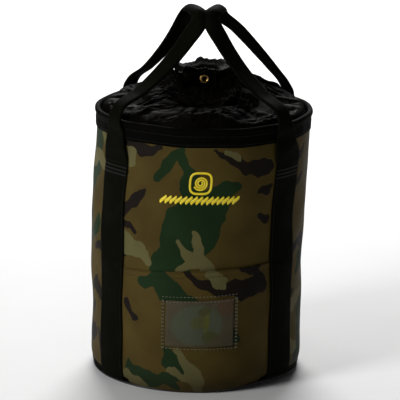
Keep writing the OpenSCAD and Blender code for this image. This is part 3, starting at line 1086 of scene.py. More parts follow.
def loop_leg(bow, crossing, top):
    """The front leg of the right loop, from the last stitch up to the grip.

    bow pushes its middle outwards, crossing is the bearing in degrees at which it passes over the rim, and
    top is how far it is from the middle plane at its top. Each station is a place, half the width to which
    the webbing is folded, and the direction of that width.
    """
    full = shape().strap_width / 2
    narrow = FOLDED_SHARE * full
    band = RIM[1][0]
    crossing = math.radians(crossing)
    halfway = (STRAP_ANGLE + crossing) / 2

    def across(tilt):
        return (-math.cos(tilt), -math.sin(tilt), 0)

    strap_way, rim_way = across(STRAP_ANGLE), across(crossing)
    foot = at(band - 5 * MM, crossing, RIM_TOP + 14 * MM)
    grip_x = GRIP_X + 3 * MM
    grip_z = GRIP[1][2] - 2.3 * MM
    grip = np.array([top + 3 * MM, -31 * MM, grip_z - 12 * MM])
    out = np.array([bow, -bow / 2, bow / 2])
    rise = grip - foot
    stations = [
        (at(RADIUS + 2.3 * MM, STRAP_ANGLE, TACK_TOP + 2 * MM), full, strap_way),
        (at(RADIUS + 2.6 * MM, STRAP_ANGLE, TACK_TOP + 9 * MM), full, strap_way),
        (at(RADIUS + 3.2 * MM, halfway, TACK_TOP + 26 * MM), 0.84 * full, across(halfway)),
        (at(band - 0.9 * MM, (halfway + crossing) / 2, HOOP_Z - 11 * MM), 0.66 * full, rim_way),
        (at(band + 1.6 * MM, crossing, HOOP_Z - 1 * MM), 0.54 * full, rim_way),
        (at(band + 0.4 * MM, crossing, RIM_TOP + 5 * MM), 0.48 * full, rim_way),
        (foot, narrow, rim_way),
    ]
    turns = [(0.2, 0.7, (-0.7, -0.7, 0)), (0.4, 1, (-0.8, -0.6, 0)), (0.6, 1, (-0.85, -0.5, 0))]
    turns += [(0.8, 0.7, (-0.9, -0.4, 0))]
    stations += [(foot + share * rise + out * part, narrow, way) for share, part, way in turns]
    stations += [
        (grip, narrow, (-1, -0.25, 0)),
        (np.array([0.8 * top + 0.2 * grip_x, -22 * MM, grip_z - 3 * MM]), narrow, (-1, -0.2, 0)),
        (np.array([0.4 * top + 0.6 * grip_x, -9 * MM, grip_z]), narrow, (-1, -0.15, 0)),
    ]
    return stations


def wall_leg():
    """The sewn front strap of the right side, from its foot to the last stitch, as stations like a leg's."""
    heights = [1.2 * MM, 8 * MM, 20 * MM] + list(np.linspace(40 * MM, TACK_TOP - 6 * MM, 11))
    tilt = STRAP_ANGLE
    across = (-math.cos(tilt), -math.sin(tilt), 0)
    full = shape().strap_width / 2
    return [(at(strap_stand_off(tilt, z), tilt, z), full, across) for z in heights]


def webbing_route(side, front_leg, back_leg):
    """Places, half widths and width directions along one whole webbing: front strap, loop and back strap.

    side is 1 on the right and -1 on the left.
    """
    front = wall_leg() + loop_leg(*front_leg)
    back = wall_leg() + loop_leg(*back_leg)
    flip = np.array([1, -1, 1])
    route = front + [(place * flip, half, np.array(way) * flip) for place, half, way in reversed(back)]
    places, halves, ways = (np.array(column, float) for column in zip(*route))
    places[:, 0] *= side
    ways[:, 0] *= side
    return places, halves, ways


def folded_section(half, run):
    """Cross-section of webbing whose two edges are turned in to a width of 2 * half.

    run is how far each of its points is across the flat webbing. It returns how far each is across the folded
    webbing, how deep, and the angle by which its face is turned.
    """
    fold = np.clip((np.abs(run) - (half - FOLD_BEND)) / (math.pi * FOLD_BEND), 0, 1)
    angle = math.pi * fold * np.sign(run)
    step = run[1] - run[0]
    centre = len(run) // 2
    across = np.concatenate([[0], np.cumsum((np.cos(angle[1:]) + np.cos(angle[:-1])) / 2 * step)])
    depth = np.concatenate([[0], np.cumsum((np.sin(angle[1:]) + np.sin(angle[:-1])) / 2 * step)])
    return across - across[centre], depth - depth[centre], angle


def swept(places, halves, ways):
    """The route at equal steps: its line, half width, width direction and facing, which is outwards."""
    chord = np.concatenate([[0], np.cumsum(np.linalg.norm(np.diff(places, axis=0), axis=1))])
    wanted = np.linspace(0, chord[-1], int(chord[-1] / WEBBING_STEP))
    line = spline(places, chord, wanted)
    width = spline(halves[:, None], chord, wanted)[:, 0]
    way = spline(ways, chord, wanted)
    tangent = np.gradient(line, axis=0)
    tangent /= np.linalg.norm(tangent, axis=1)[:, None]
    way -= (way * tangent).sum(1)[:, None] * tangent
    way /= np.linalg.norm(way, axis=1)[:, None]
    facing = np.cross(tangent, way)
    on_wall = 10
    facing *= np.sign((facing[on_wall] * line[on_wall] * (1, 1, 0)).sum())
    return line, width, way, facing


def webbing_section(place, half, way, facing, run):
    """One cross-section of the webbing: the middle of its thickness, and the way that it faces there."""
    flat = run[-1]
    across, depth, angle = folded_section(half, run)
    bearing = math.atan2(place[0], -place[1])
    if place[2] < LAID_TO:
        sense = np.sign(way[0] * math.cos(bearing) + way[1] * math.sin(bearing))
        around = bearing + across * sense / RADIUS
        normal = np.stack([np.sin(around), -np.cos(around), np.zeros(len(run))], -1)
        return at(strap_stand_off(around, place[2]), around, place[2]), normal
    raised = FOLD_BEND * smooth(flat - half, 0, 5 * MM)
    cup = GRIP_CUP * smooth(place[2], GRIP[1][2] - 45 * MM, GRIP[1][2] - 5 * MM) * (across / half) ** 2
    centre = place + facing * raised + way * across[:, None] - facing * (depth + cup)[:, None]
    if place[2] < ROUND_TO and half > 0.6 * flat:
        share = 1 - smooth(place[2], LAID_TO, ROUND_TO)
        sag = (RADIUS - np.sqrt(np.maximum(RADIUS**2 - across**2, 0))) * share
        centre = centre - np.array([math.sin(bearing), -math.cos(bearing), 0]) * sag[:, None]
    return centre, facing * np.cos(angle)[:, None] + way * np.sin(angle)[:, None]


def make_webbing(name, side, legs, nodes):
    """One length of webbing: a strap sewn up the front, the carrying loop and a strap down the back."""
    size = shape()
    line, width, way, facing = swept(*webbing_route(side, *legs))
    flat = size.strap_width / 2
    run = np.linspace(-flat, flat, SECTION_POINTS)
    half_thick = np.clip((flat - np.abs(run)) / (1.0 * MM), 0.25, 1)[:, None] * size.strap_thick / 2
    both = np.concatenate([run, run[::-1]])
    travelled = np.concatenate([[0], np.cumsum(np.linalg.norm(np.diff(line, axis=0), axis=1))])
    rings = []
    cloth = []
    for station in zip(line, width, way, facing):
        centre, normal = webbing_section(*station, run)
        outer = centre + normal * half_thick
        inner = centre - normal * half_thick
        rings.append(np.concatenate([outer, inner[::-1]]))
    for distance in travelled:
        cloth.append(np.stack([both, np.full(len(both), distance)], -1))
    webbing = cloth_grid(name, leaned(np.array(rings)), np.array(cloth), "webbing", closed=True)
    outward(webbing, ends_open=True)
    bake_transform(webbing)
    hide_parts(*nodes)


def strap_line(bearing, low, high):
    """A seam line up a sewn strap."""
    height = np.linspace(low, high, 90)
    radius = strap_stand_off(bearing, height) + shape().strap_thick / 2 + 0.05 * MM
    return leaned(at(radius, bearing, height))


def make_strap_stitches():
    """Two rows of stitches up each strap, near its edges, and a bar tack of three rows at its top."""
    inset = (shape().strap_width / 2 - 3.5 * MM) / RADIUS
    seams = []
    for side in (-1, 1):
        for middle in (STRAP_ANGLE, math.pi - STRAP_ANGLE):
            for edge in (-inset, inset):
                seams.append(strap_line(side * middle + edge, 4 * MM, TACK_TOP - 16 * MM))
    rows = stitches("strap_stitches", seams, "thread")
    place_on(rows, "bag", "sewing_thread")
    teeth = 76
    half_tooth = 1.0 * MM
    past_rows = 0.008
    for name, side, middle in (
        ("front_left", -1, STRAP_ANGLE),
        ("front_right", 1, STRAP_ANGLE),
        ("back_left", -1, math.pi - STRAP_ANGLE),
        ("back_right", 1, math.pi - STRAP_ANGLE),
    ):
        node = "bartack_" + name
        low, high = (corner[2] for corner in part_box(node))
        zigzags = []
        for centre in np.linspace(high - half_tooth, low + half_tooth, 3):
            bearing = side * middle + np.linspace(-inset - past_rows, inset + past_rows, teeth)
            height = centre + half_tooth * np.where(np.arange(teeth) % 2, 1, -1)
            radius = strap_stand_off(bearing, height) + shape().strap_thick / 2 + 0.1 * MM
            zigzags.append(leaned(at(radius, bearing, height)))
        tack = stitches("tack_" + name, zigzags, "thread", 1.05 * MM, 1.7 * MM, 0.6 * MM)
        place_on(tack, "bag", "sewing_thread", node)


# --------------------------------------------------------------------------- pocket, window and card


def make_pocket():
    """The front pocket: a printed panel that bows off the wall, its mouth hemmed with tape."""
    reach = POCKET_EDGE + math.radians(4)
    columns, rows = 150, 96
    bearing = np.linspace(-reach, reach, columns)[None, :]
    share = np.linspace(0, 1, rows)[:, None]
    height = 2.2 * MM + share * (pocket_mouth(bearing) - 2.2 * MM)
    radius = pocket_radius(bearing, height)
    across, up = np.broadcast_arrays(bearing * RADIUS, height)
    cloth = np.stack([across, up], -1)
    fields = print_depths(across / MM, up / MM, POCKET_PRINT, WALL_COPIES[:1])
    panel = cloth_grid("pocket_cloth", leaned(at(radius, bearing, height)), cloth, "camo", fields=fields)
    thicken(panel, 1.1 * MM)
    place_on(panel, "bag", "camo_coated_fabric", "pocket_panel")
    tape_columns = np.linspace(-POCKET_EDGE, POCKET_EDGE, 110)[None, :]
    drop = np.linspace(0.6 * MM, 11 * MM, 7)[:, None]
    height = pocket_mouth(tape_columns) - drop
    radius = pocket_radius(tape_columns, height) - 1.3 * MM
    cloth = np.stack(np.broadcast_arrays(drop, tape_columns * RADIUS), -1)
    tape = cloth_grid("pocket_hem", leaned(at(radius, tape_columns, height)), cloth, "binding")
    thicken(tape, 0.8 * MM, 1.0)
    place_on(tape, "bag", "rim_binding", "pocket_hem_tape")
    edge = np.linspace(-POCKET_EDGE, POCKET_EDGE, 160)
    rows = []
    for drop in (1.6 * MM, 8.5 * MM):
        height = pocket_mouth(edge) - drop
        rows.append(leaned(at(pocket_radius(edge, height) + 0.1 * MM, edge, height)))
    seam = stitches("pocket_stitches", rows, "thread")
    place_on(seam, "bag", "sewing_thread")


WINDOW_SHIFT = (5 * MM, 4 * MM)                            # it is sewn a little right of and over its node
WINDOW_SPREAD = 0.96                                       # its width, of the node's
PANE_EDGE = 0.35 * MM                                      # how far its edge stands off the pocket,
PANE_RISE = 1.75 * MM                                      # how much further its middle does,
PANE_ROUND = 6 * MM                                        # and how wide the rise between them is
CARD_STAND_OFF = 1.55 * MM
SEAM_STAND_OFF = 1.6 * MM                                  # thread on the pane's sides and foot


def window_place(across, up, stand_off):
    """A place on the window: across from its middle and up from its lower edge, in metres."""
    bearing = (across * WINDOW_SPREAD + WINDOW_SHIFT[0]) / RADIUS
    slant = shape().mouth_rise * 0.36 * across / (WINDOW[1][0] - WINDOW[0][0])
    height = WINDOW[0][2] + WINDOW_SHIFT[1] + up + slant * up / (WINDOW[1][2] - WINDOW[0][2])
    return leaned(at(pocket_radius(bearing, height) + stand_off, bearing, height))


def make_window():
    """Clear window sewn over the pocket on three sides, and open along its top."""
    half = (WINDOW[1][0] - WINDOW[0][0]) / 2
    tall = WINDOW[1][2] - WINDOW[0][2]
    across, up = np.broadcast_arrays(np.linspace(-half, half, 60)[None, :], np.linspace(0, tall, 44)[:, None])
    inner = np.clip(np.minimum(half - np.abs(across), up) / PANE_ROUND, 0, 1)
    face = window_place(across, up, PANE_EDGE + PANE_RISE * inner**0.7)
    pane = cloth_grid("window_pane", face, np.stack([across, up], -1), "vinyl")
    thicken(pane, 0.4 * MM, 1.0)
    place_on(pane, "bag", "clear_vinyl", "id_window")
    inset = 2.4 * MM
    side_up = np.linspace(inset, tall - 0.5 * MM, 60)
    along = np.linspace(-half + inset, half - inset, 90)
    sides = (-half + inset, half - inset, -half + 0.2 * inset, half - 0.2 * inset)
    seams = [window_place(np.full(60, x), side_up, SEAM_STAND_OFF) for x in sides]
    seams += [window_place(along, np.full(90, inset), SEAM_STAND_OFF)]
    above_pane = np.linspace(-half + 1 * MM, half - 1 * MM, 90)
    seams += [window_place(above_pane, np.full(90, tall + 4.5 * MM), 0.05 * MM)]
    on_pane = PANE_EDGE + PANE_RISE + 0.6 * MM
    seams += [window_place(along, np.full(90, tall - 1.6 * MM), on_pane)]
    seam = stitches("window_stitches", seams, "light thread", 4.8 * MM, 2.8 * MM, 1.0 * MM)
    place_on(seam, "bag", "sewing_thread")


def make_card():
    """The card behind the window, slightly curved with the pocket."""
    half = (CARD[1][0] - CARD[0][0]) / 2
    tall = CARD[1][2] - CARD[0][2]
    low = CARD[0][2] - WINDOW[0][2]
    across, up = np.broadcast_arrays(np.linspace(-half, half, 50)[None, :], np.linspace(0, tall, 36)[:, None])
    face = window_place(across, up + low, CARD_STAND_OFF)
    card = cloth_grid("printed_card", face, np.stack([across, up], -1), "card")
    thicken(card, 0.45 * MM)
    place_on(card, "card", "card_stock", "id_card")


# --------------------------------------------------------------------------- collar, cord and grommet


# Folds of the collar: number round the bag, phase, turn from the skirt to the ruffle's edge, and weight.
COLLAR_FOLDS = [(3, 0.4, 2.0, 0.9), (5, 0.9, 4.3, 1.1), (8, 2.2, -5.1, 0.9), (13, 4.0, 7.2, 0.5)]
COLLAR_FOLDS += [(21, 1.2, -9.4, 0.25)]


def fold_noise(bearing, row):
    """Smooth, closed folds round the collar. row is 0 at the skirt and 1 at the ruffle's edge."""
    total = 0
    for count, phase, twist, weight in COLLAR_FOLDS:
        turned = count * bearing + phase + twist * row + 0.8 * np.sin(3 * bearing + phase)
        total = total + weight * np.sin(turned)
    return total / 2.2


# Lines of the collar from its skirt inside the rim to the ruffle's edge: radius, and height over the rim, in
# millimetres. The two have the same number of points, so that one can pass into the other round the bag.
COLLAR_PUFFED = [
    (139.6, -20), (139.6, -11), (138.5, -5), (135.5, 1), (126, 8), (112, 16.5), (95, 23.5), (78, 30),
    (63, 36.5), (51.5, 44), (43.5, 49.5), (37.5, 50), (33, 44), (31, 35), (24, 33.5), (19, 36), (18, 43),
    (20.5, 51), (28, 54), (34.5, 57), (40, 51),
]
COLLAR_FOLDED = [
    (139.6, -20), (139.6, -11), (138.5, -5), (135.5, 2), (127, 10), (113, 14), (98, 12.5), (80, 6.5),
    (66, 4.5), (62, 9.5), (70, 14), (75, 18.5), (66, 25), (44, 33), (32, 33.5), (24, 34), (18.5, 37),
    (18.5, 47), (27, 54), (33.5, 56.5), (39, 50.5),
]
COLLAR_RUN = 0.215                           # length of the cloth's own coordinate, along the folds


def collar_places(columns, rows):
    """The gathered collar: a puffed cone that folds over itself at the front, pleated towards its throat."""
    row = np.linspace(0, 1, rows)
    bearing = np.linspace(-math.pi, math.pi, columns, endpoint=False)[None, :]
    share = row[:, None]
    lines = []
    for stations in (COLLAR_PUFFED, COLLAR_FOLDED):
        line = np.array(stations, float) * MM
        run = np.concatenate([[0], np.cumsum(np.hypot(*np.diff(line, axis=0).T))])
        lines.append(spline(line, run / run[-1], row))
    puffed, folded = lines

    # It folds over at the front, and less at two places towards the back.
    drift = 0.16 * np.sin(9 * share + 0.5)
    front = np.exp(-(((bearing + 0.06 + drift) / 0.74) ** 4))
    back = 0.55 * np.exp(-(((np.abs(bearing) - 2.3 + drift) / 0.30) ** 2))
    fold = np.clip(front + back, 0, 1)
    radius = puffed[:, :1] * (1 - fold) + folded[:, :1] * fold
    height = puffed[:, 1:] * (1 - fold) + folded[:, 1:] * fold + RIM_TOP

    # Pleats run out from the throat, and broad folds wander over the skirt.
    free = smooth(share, 0.08, 0.20)
    under_cord = 1 - smooth(share, 0.70, 0.80)
    pleats = shape().gathers
    drawn = 0.7 * np.sin(pleats * bearing + 1.2 * np.sin(4 * bearing + 1.0))
    drawn = drawn + 0.4 * np.sin((2 * pleats - 5) * bearing + 0.6)
    near = np.exp(-np.clip(radius - 18 * MM, 0, 1) / (38 * MM))
    broad = 4.2 * MM * fold_noise(bearing, share) * (0.25 + radius / RADIUS)
    lift = free * under_cord * (broad + 2.2 * MM * near * drawn)
    sag = 5.5 * MM * smooth(-np.sin(bearing), 0.25, 1.0) * np.exp(-(((share - 0.40) / 0.15) ** 2))
    waist = 3.0 * MM * np.sin(6 * bearing + 2.0 + 5 * share) * smooth(radius, 40 * MM, 70 * MM)

    # The ruffle over the cord flares in lobes.
    top = smooth(share, 0.84, 1.0)
    draw_in = free * (1 - top) * near * 2.4 * MM * (drawn - 0.7) * smooth(radius, 24 * MM, 34 * MM)
    lobes = np.sin(6 * bearing + 0.9 * np.sin(2 * bearing + 1.0)) + 0.5 * np.sin(11 * bearing + 2.2)
    frill = top * (2.4 * MM * lobes + 1.2 * MM * drawn)
    rise = top * (2.4 * MM * np.sin(2 * bearing + 2.4) + 1.6 * MM * lobes + 0.7 * MM * drawn)
    out = np.minimum(radius + draw_in + free * under_cord * waist + frill, RADIUS - 5.2 * MM)
    return at(out, bearing, height + lift - sag + rise), bearing, row * COLLAR_RUN


def crumple(cloth, pinned, frames, slack):
    """Lets the cloth settle into its own wrinkles. slack is its spare length, as a share of its own."""
    group = cloth.vertex_groups.new(name="held")
    for index, weight in enumerate(pinned):
        group.add([index], float(weight), "REPLACE")
    modifier = cloth.modifiers.new("Cloth", "CLOTH")
    settings = modifier.settings
    settings.vertex_group_mass = "held"
    settings.quality = 6
    settings.mass = 0.12
    settings.tension_stiffness = 22
    settings.compression_stiffness = 22
    settings.shear_stiffness = 8
    settings.bending_stiffness = 2.0
    settings.shrink_min = -slack
    settings.shrink_max = -slack
    settings.effector_weights.gravity = 0.4
    modifier.collision_settings.use_self_collision = True
    modifier.collision_settings.self_distance_min = 1.2 * MM
    modifier.point_cache.frame_start = 1
    modifier.point_cache.frame_end = frames
    scene = bpy.context.scene
    scene.frame_start = 1
    scene.frame_end = frames
    for step in range(1, frames + 1):
        scene.frame_set(step)
    settled = cloth.evaluated_get(bpy.context.evaluated_depsgraph_get())
    places = np.array([vertex.co[:] for vertex in settled.data.vertices])
    cloth.modifiers.clear()
    scene.frame_set(1)
    cloth.vertex_groups.clear()
    return places


def make_collar():
    """The drawn collar, one sheet that is held at its skirt and by its cord."""
    columns, rows = 288, 110
    places, bearing, run = collar_places(columns, rows)
    across, along = np.broadcast_arrays(bearing * RADIUS, run[:, None])
    cloth = np.stack([across, along], -1)
    collar = cloth_grid("gathered_collar", places, cloth, "nylon", closed=True)
    rest = places.reshape(-1, 3).copy()
    share = np.repeat(np.linspace(0, 1, rows), columns)
    hold = np.maximum(1 - smooth(share, 0.10, 0.18), smooth(share, 0.66, 0.76))
    moved = crumple(collar, hold, 14, 0.10) - rest
    far = np.linalg.norm(moved, axis=1)[:, None]
    furthest = 10 * MM
    moved *= np.minimum(1, furthest / np.maximum(far, 1e-9))
    collar.data.vertices.foreach_set("co", (rest + moved).ravel())
    collar.data.update()
    thicken(collar, 0.5 * MM, 0.0)
    place_on(collar, "bag", "collar_nylon", "collar")


def make_channel():
    """The cord's channel round the throat: a gathered tube of the same nylon, with the cord inside it."""
    low, high = CHANNEL[0][2], CHANNEL[1][2]
    middle = (low + high) / 2
    inner = 22.6 * MM
    outer = CHANNEL[1][0] - 0.4 * MM
    centre = ((inner + outer) / 2, middle)
    half_wide = (outer - inner) / 2
    half_tall = (high - low) / 2
    angles = np.radians(np.linspace(0, 360, 28, endpoint=False))
    bulge = np.sign(np.cos(angles)) * np.abs(np.cos(angles)) ** 0.7
    profile = np.stack([centre[0] + half_wide * bulge, centre[1] + half_tall * np.sin(angles)], -1)

    def gather(radius, bearing, height):
        pleats = 0.8 * np.sin(26 * bearing + 1.5 * np.sin(5 * bearing)) + 0.4 * np.sin(47 * bearing + 1)
        flat = np.exp(-((bearing / 0.30) ** 2))            # round the grommet
        pleats = pleats * (1 - flat)
        share = (height - middle) / half_tall
        outside = smooth(radius, centre[0] - 1 * MM, centre[0] + 2 * MM)
        flare = 3.6 * MM * np.clip(0.35 - share, 0, 1.4) ** 1.5 * (1 - flat)
        return radius + outside * (1.3 * MM * pleats - 0.6 * MM + flare), height + share * 1.4 * MM * pleats

    places, cloth = ring_grid(profile, 220, gather)
    cloth = cloth[..., ::-1].copy()
    tube = cloth_grid("cord_channel", places, cloth, "nylon", closed=True, round_across=True)
    outward(tube)
    place_on(tube, "bag", "collar_nylon", "collar_channel")


def make_cord():
    """The drawcord, braided, lying in its channel."""
    thick = (CORD[1][2] - CORD[0][2]) / 2
    ring = CORD[1][0] - thick
    profile = np.array(arc((ring, THROAT_Z), thick, 0, 345, 24))
    bearing = np.linspace(-math.pi, math.pi, 260, endpoint=False)[None, :]
    radius, height = profile[:, :1], profile[:, 1:]
    places = at(radius, bearing, height + 0.3 * MM * np.sin(6 * bearing))
    around = np.linspace(0, math.tau * thick, 24, endpoint=False)[:, None]
    cloth = np.stack(np.broadcast_arrays(around, bearing * ring), -1)
    cord = cloth_grid("braided_drawcord", places, cloth, "cord", closed=True, round_across=True)
    outward(cord)
    place_on(cord, "bag", "drawcord", "drawcord")


def lathe(name, profile, centre_z, finish, columns=64):
    """A closed profile of (radius, distance from the axis of the bag) turned about the grommet's own axis."""
    profile = np.array(profile)
    turn = np.linspace(0, math.tau, columns, endpoint=False)[None, :]
    radius, depth = profile[:, :1], profile[:, 1:]
    x, z, y = np.broadcast_arrays(radius * np.sin(turn), centre_z + radius * np.cos(turn), -depth)
    places = np.stack([x, y, z], -1)
    made = cloth_grid(name, places, places[..., ::2].copy(), finish, closed=True, round_across=True)
    outward(made)
    return made


def make_grommet():
    """Rolled brass eyelet and the washer behind it, at the front of the throat."""
    bore = 3 * MM
    outer = (EYELET[1][2] - EYELET[0][2]) / 2
    middle = (EYELET[1][2] + EYELET[0][2]) / 2
    face = -EYELET[0][1]
    back = -EYELET[1][1]
    roll = (outer - bore) / 2
    flange = [(bore + roll * (1 - math.cos(a)), face - 0.9 * MM + 1.3 * MM * math.sin(a) ** 0.8)
              for a in np.radians(np.linspace(12, 172, 15))]
    profile = [(bore, back)] + [(bore, face - 1.2 * MM)] + flange + [(outer - 0.1 * MM, face - 1.0 * MM)]
    profile += [(bore + 0.6 * MM, face - 1.4 * MM), (bore + 0.5 * MM, back)]
    eyelet = lathe("brass_eyelet", profile, middle, "brass")
    place_on(eyelet, "bag", "brass", "grommet_eyelet")
    near, far = -WASHER[0][1], -WASHER[1][1]
    rounded = 0.2 * MM
    ring = [(bore + 0.7 * MM, far), (bore + 0.7 * MM, near), (outer - rounded, near)]
    ring += [(outer, near - rounded), (outer, far + rounded), (outer - rounded, far)]
    washer = lathe("brass_washer", ring, middle, "brass")
    place_on(washer, "bag", "brass", "grommet_washer")


# --------------------------------------------------------------------------- printed mark


def ribbon(points, half):
    """Left and right edges of a ribbon along points of the plane."""
    step = np.gradient(points, axis=0)
    step /= np.linalg.norm(step, axis=1)[:, None]
    side = np.stack([-step[:, 1], step[:, 0]], -1) * half
    return points + side, points - side


def mark_shapes():
    """Ribbons of the mark, in millimetres: a rounded frame, a coil of rope and a twisted line under them."""
    grids = []
    squareness = 3.4
    turn = np.linspace(0, math.tau, 73)
    spread = np.abs(np.cos(turn)) ** squareness + np.abs(np.sin(turn)) ** squareness
    outer = 14.2 / spread ** (1 / squareness)
    frame_line = np.stack([outer * np.sin(turn), outer * np.cos(turn)], -1)
    grids.append(ribbon(frame_line, 1.5))
    spiral = np.linspace(0.4, 5.35 * math.pi, 120)
    reach = 1.6 + spiral * 0.47
    coil = np.stack([reach * np.sin(spiral), reach * np.cos(spiral)], -1)
    grids.append(ribbon(coil, 1.15))
    for i in range(15):
        middle = -49 + i * 7.0
        slant = np.linspace(-1, 1, 9)
        across = middle + 3.6 * slant + 1.2 * np.sin(math.pi * slant)
        taper = 2.25 * np.sqrt(np.clip(1.03 - slant**2, 0.03, 1))
        grids.append(ribbon(np.stack([across, -23.2 + 5.8 * slant], -1), taper[:, None]))
    return grids


MARK_HEIGHT = 291 * MM                       # middle of its round frame
MARK_PROUD = 0.16 * MM


def make_mark():
    """The printed mark on the front, laid on the wall."""
    vertices = []
    faces = []
    uvs = []
    for left, right in mark_shapes():
        strips = [left + (right - left) * share for share in (0, 0.33, 0.67, 1)]
        grid = np.stack(strips, 1) * MM
        bearing = grid[..., 0] / RADIUS
        height = MARK_HEIGHT + grid[..., 1]
        places = leaned(at(wall_radius(bearing, height) + MARK_PROUD, bearing, height))
        first = len(vertices)
        vertices.extend(places.reshape(-1, 3))
        uvs.extend(np.stack([bearing * RADIUS, height], -1).reshape(-1, 2))
        for row in range(len(left) - 1):
            for column in range(3):
                a = first + row * 4 + column
                faces.append((a, a + 4, a + 5, a + 1))
    mark = new_object("printed_mark", vertices, faces, "ink")
    layer = mark.data.uv_layers.new(name="cloth")
    loops = np.empty(len(mark.data.loops), int)
    mark.data.loops.foreach_get("vertex_index", loops)
    layer.data.foreach_set("uv", np.array(uvs)[loops].ravel())
    applied(mark, "SOLIDIFY", thickness=0.3 * MM, offset=-1.0)
    outward(mark)
    place_on(mark, "bag", "badge_ink")


# --------------------------------------------------------------------------- stage


def make_stage():
    """Camera, surrounding light and soft lamps."""
    scene = bpy.context.scene
    stage = scene.bag_stage
    target = Vector((-3.2 * MM, 0, stage.target_z))
    back = Vector((0, -math.cos(stage.elevation), math.sin(stage.elevation)))
    camera = bpy.data.objects.new("camera", bpy.data.cameras.new("camera"))
    scene.collection.objects.link(camera)
    camera.data.lens = stage.lens
    camera.data.sensor_width = 36
    camera.data.clip_end = 50
    aim = back.to_track_quat("Z", "Y").to_matrix().to_4x4()
    roll = Matrix.Rotation(stage.roll, 4, "Z")
    camera.matrix_world = Matrix.Translation(target + back * stage.distance) @ aim @ roll
    scene.camera = camera
    world = bpy.data.worlds.new("studio")
    world.use_nodes = True
    background = world.node_tree.nodes["Background"]
    background.inputs["Color"].default_value = (1, 1, 1, 1)
    background.inputs["Strength"].default_value = stage.sky
    scene.world = world
    scene.view_settings.view_transform = "Standard"
    lights = [
        ("key_light", (-2.35, -1.85, 1.2), 1.0, stage.key),
        ("fill_light", (2.2, -1.6, 0.9), 1.6, stage.fill),
        ("top_light", (-0.3, 0.5, 2.6), 1.6, 0.10 * stage.key),
        ("far_light", (0.0, 3.4, 2.6), 2.5, 3.0 * stage.key),
    ]
    for name, place, size, power in lights:
        lamp = bpy.data.lights.new(name, "AREA")
        lamp.shape = "DISK"
        lamp.size = size
        lamp.energy = power
        holder = bpy.data.objects.new(name, lamp)
        scene.collection.objects.link(holder)
        way = Vector(place) - Vector((0, 0, 0.2))
        holder.matrix_world = Matrix.Translation(place) @ way.to_track_quat("Z", "Y").to_matrix().to_4x4()


def make_floor():
    """A pale floor that curves up far behind the bag."""
    reach, bend, start, top = 14.0, 2.0, 4.0, 8.0
    profile = [(-reach, 0.0), (2.0, 0.0)]
    profile += arc((start, bend), bend, -90, 0, 24)
    profile += [(start + bend, top)]
    vertices = [(side * reach, y, z) for y, z in profile for side in (-1, 1)]
    faces = [(2 * i, 2 * i + 1, 2 * i + 3, 2 * i + 2) for i in range(len(profile) - 1)]

    def paint(tree):
        return tree.mix(tree.noise(tree.object_place(), 3, 3.0), (0.86, 0.86, 0.86), (0.90, 0.90, 0.90))

    def rough(tree):
        return tree.noise(tree.object_place(), 8, 3.0) * 0.1 + 0.75

    MADE["floor"] = surface("pale floor", paint, rough)
    new_object("floor", vertices, faces, "floor")


# --------------------------------------------------------------------------- operators and panel


class BAG_OT_camera(bpy.types.Operator):
    """Makes the camera, the surrounding light and the lamps"""

    bl_idname = "rope_bag.camera"
    bl_label = "Camera and Lights"

    def execute(self, context):
        make_stage()
        return {"FINISHED"}


class BAG_OT_floor(bpy.types.Operator):
    """Makes the floor that the bag stands on"""

    bl_idname = "rope_bag.floor"
    bl_label = "Floor"

    def execute(self, context):
        make_floor()
        return {"FINISHED"}


class BAG_OT_body(bpy.types.Operator):
    """Makes the printed wall, its seam tape, the base and the base binding"""

    bl_idname = "rope_bag.body"
    bl_label = "Wall and Base"

    def execute(self, context):
        make_wall()
        make_seam_tape()
        make_base()
        make_base_binding()
        return {"FINISHED"}


class BAG_OT_rim(bpy.types.Operator):
    """Makes the rim band and its stitching"""

    bl_idname = "rope_bag.rim"
    bl_label = "Rim Band"

    def execute(self, context):
        make_rim()
        return {"FINISHED"}


class BAG_OT_straps(bpy.types.Operator):
    """Makes the two webbings, each a loop with its straps, and the thread that holds them"""

    bl_idname = "rope_bag.straps"
    bl_label = "Straps and Loops"

    def execute(self, context):
        left_legs = ((-9 * MM, 52, 6 * MM), (-7 * MM, 44, 23 * MM))
        right_legs = ((-9 * MM, 46, 6 * MM), (2 * MM, 51, 18 * MM))
        for side, name, legs in ((-1, "left", left_legs), (1, "right", right_legs)):
            nodes = ["strap_front_" + name, "strap_back_" + name, "handle_" + name]
            make_webbing("webbing_" + name, side, legs, nodes)
        make_strap_stitches()
        return {"FINISHED"}


class BAG_OT_pocket(bpy.types.Operator):
    """Makes the pocket with its hem, the clear window and the card"""

    bl_idname = "rope_bag.pocket"
    bl_label = "Pocket, Window and Card"

    def execute(self, context):
        make_pocket()
        make_window()
        make_card()
        return {"FINISHED"}


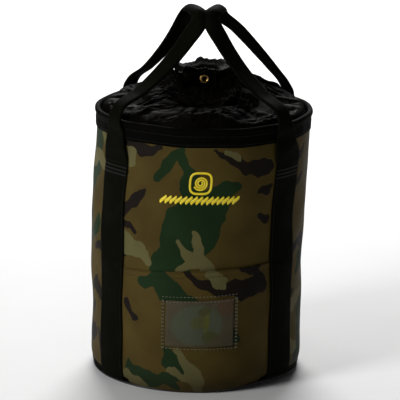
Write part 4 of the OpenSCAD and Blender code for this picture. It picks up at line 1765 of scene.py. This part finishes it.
class BAG_OT_collar(bpy.types.Operator):
    """Makes the drawn collar, its cord channel, cord and grommet"""

    bl_idname = "rope_bag.collar"
    bl_label = "Collar, Cord and Grommet"

    def execute(self, context):
        make_collar()
        make_channel()
        make_cord()
        make_grommet()
        return {"FINISHED"}


class BAG_OT_mark(bpy.types.Operator):
    """Makes the printed mark on the front"""

    bl_idname = "rope_bag.mark"
    bl_label = "Printed Mark"

    def execute(self, context):
        make_mark()
        return {"FINISHED"}


class BAG_PT_panel(bpy.types.Panel):
    """Lists the pieces of the bag and their settings"""

    bl_idname = "BAG_PT_panel"
    bl_label = "Rope Bag"
    bl_space_type = "VIEW_3D"
    bl_region_type = "UI"
    bl_category = "Rope Bag"

    def draw(self, context):
        for group in (context.scene.bag_shape, context.scene.bag_colours, context.scene.bag_stage):
            for name in group.bl_rna.properties.keys():
                if name not in ("rna_type", "name"):
                    self.layout.prop(group, name)
        for operator in OPERATORS:
            self.layout.operator(operator.bl_idname)


OPERATORS = (
    BAG_OT_camera,
    BAG_OT_floor,
    BAG_OT_body,
    BAG_OT_rim,
    BAG_OT_straps,
    BAG_OT_pocket,
    BAG_OT_collar,
    BAG_OT_mark,
)
CLASSES = (BagShape, BagColours, BagStage) + OPERATORS + (BAG_PT_panel,)


def register():
    for item in CLASSES:
        bpy.utils.register_class(item)
    bpy.types.Scene.bag_shape = bpy.props.PointerProperty(type=BagShape)
    bpy.types.Scene.bag_colours = bpy.props.PointerProperty(type=BagColours)
    bpy.types.Scene.bag_stage = bpy.props.PointerProperty(type=BagStage)


def unregister():
    for name in ("bag_shape", "bag_colours", "bag_stage"):
        delattr(bpy.types.Scene, name)
    for item in reversed(CLASSES):
        bpy.utils.unregister_class(item)


def main():
    """Makes the whole bag and its stage."""
    register()
    bpy.ops.rope_bag.camera()
    bpy.ops.rope_bag.floor()
    bpy.ops.rope_bag.body()
    bpy.ops.rope_bag.rim()
    bpy.ops.rope_bag.straps()
    bpy.ops.rope_bag.pocket()
    bpy.ops.rope_bag.collar()
    bpy.ops.rope_bag.mark()


if __name__ == "__main__":
    main()
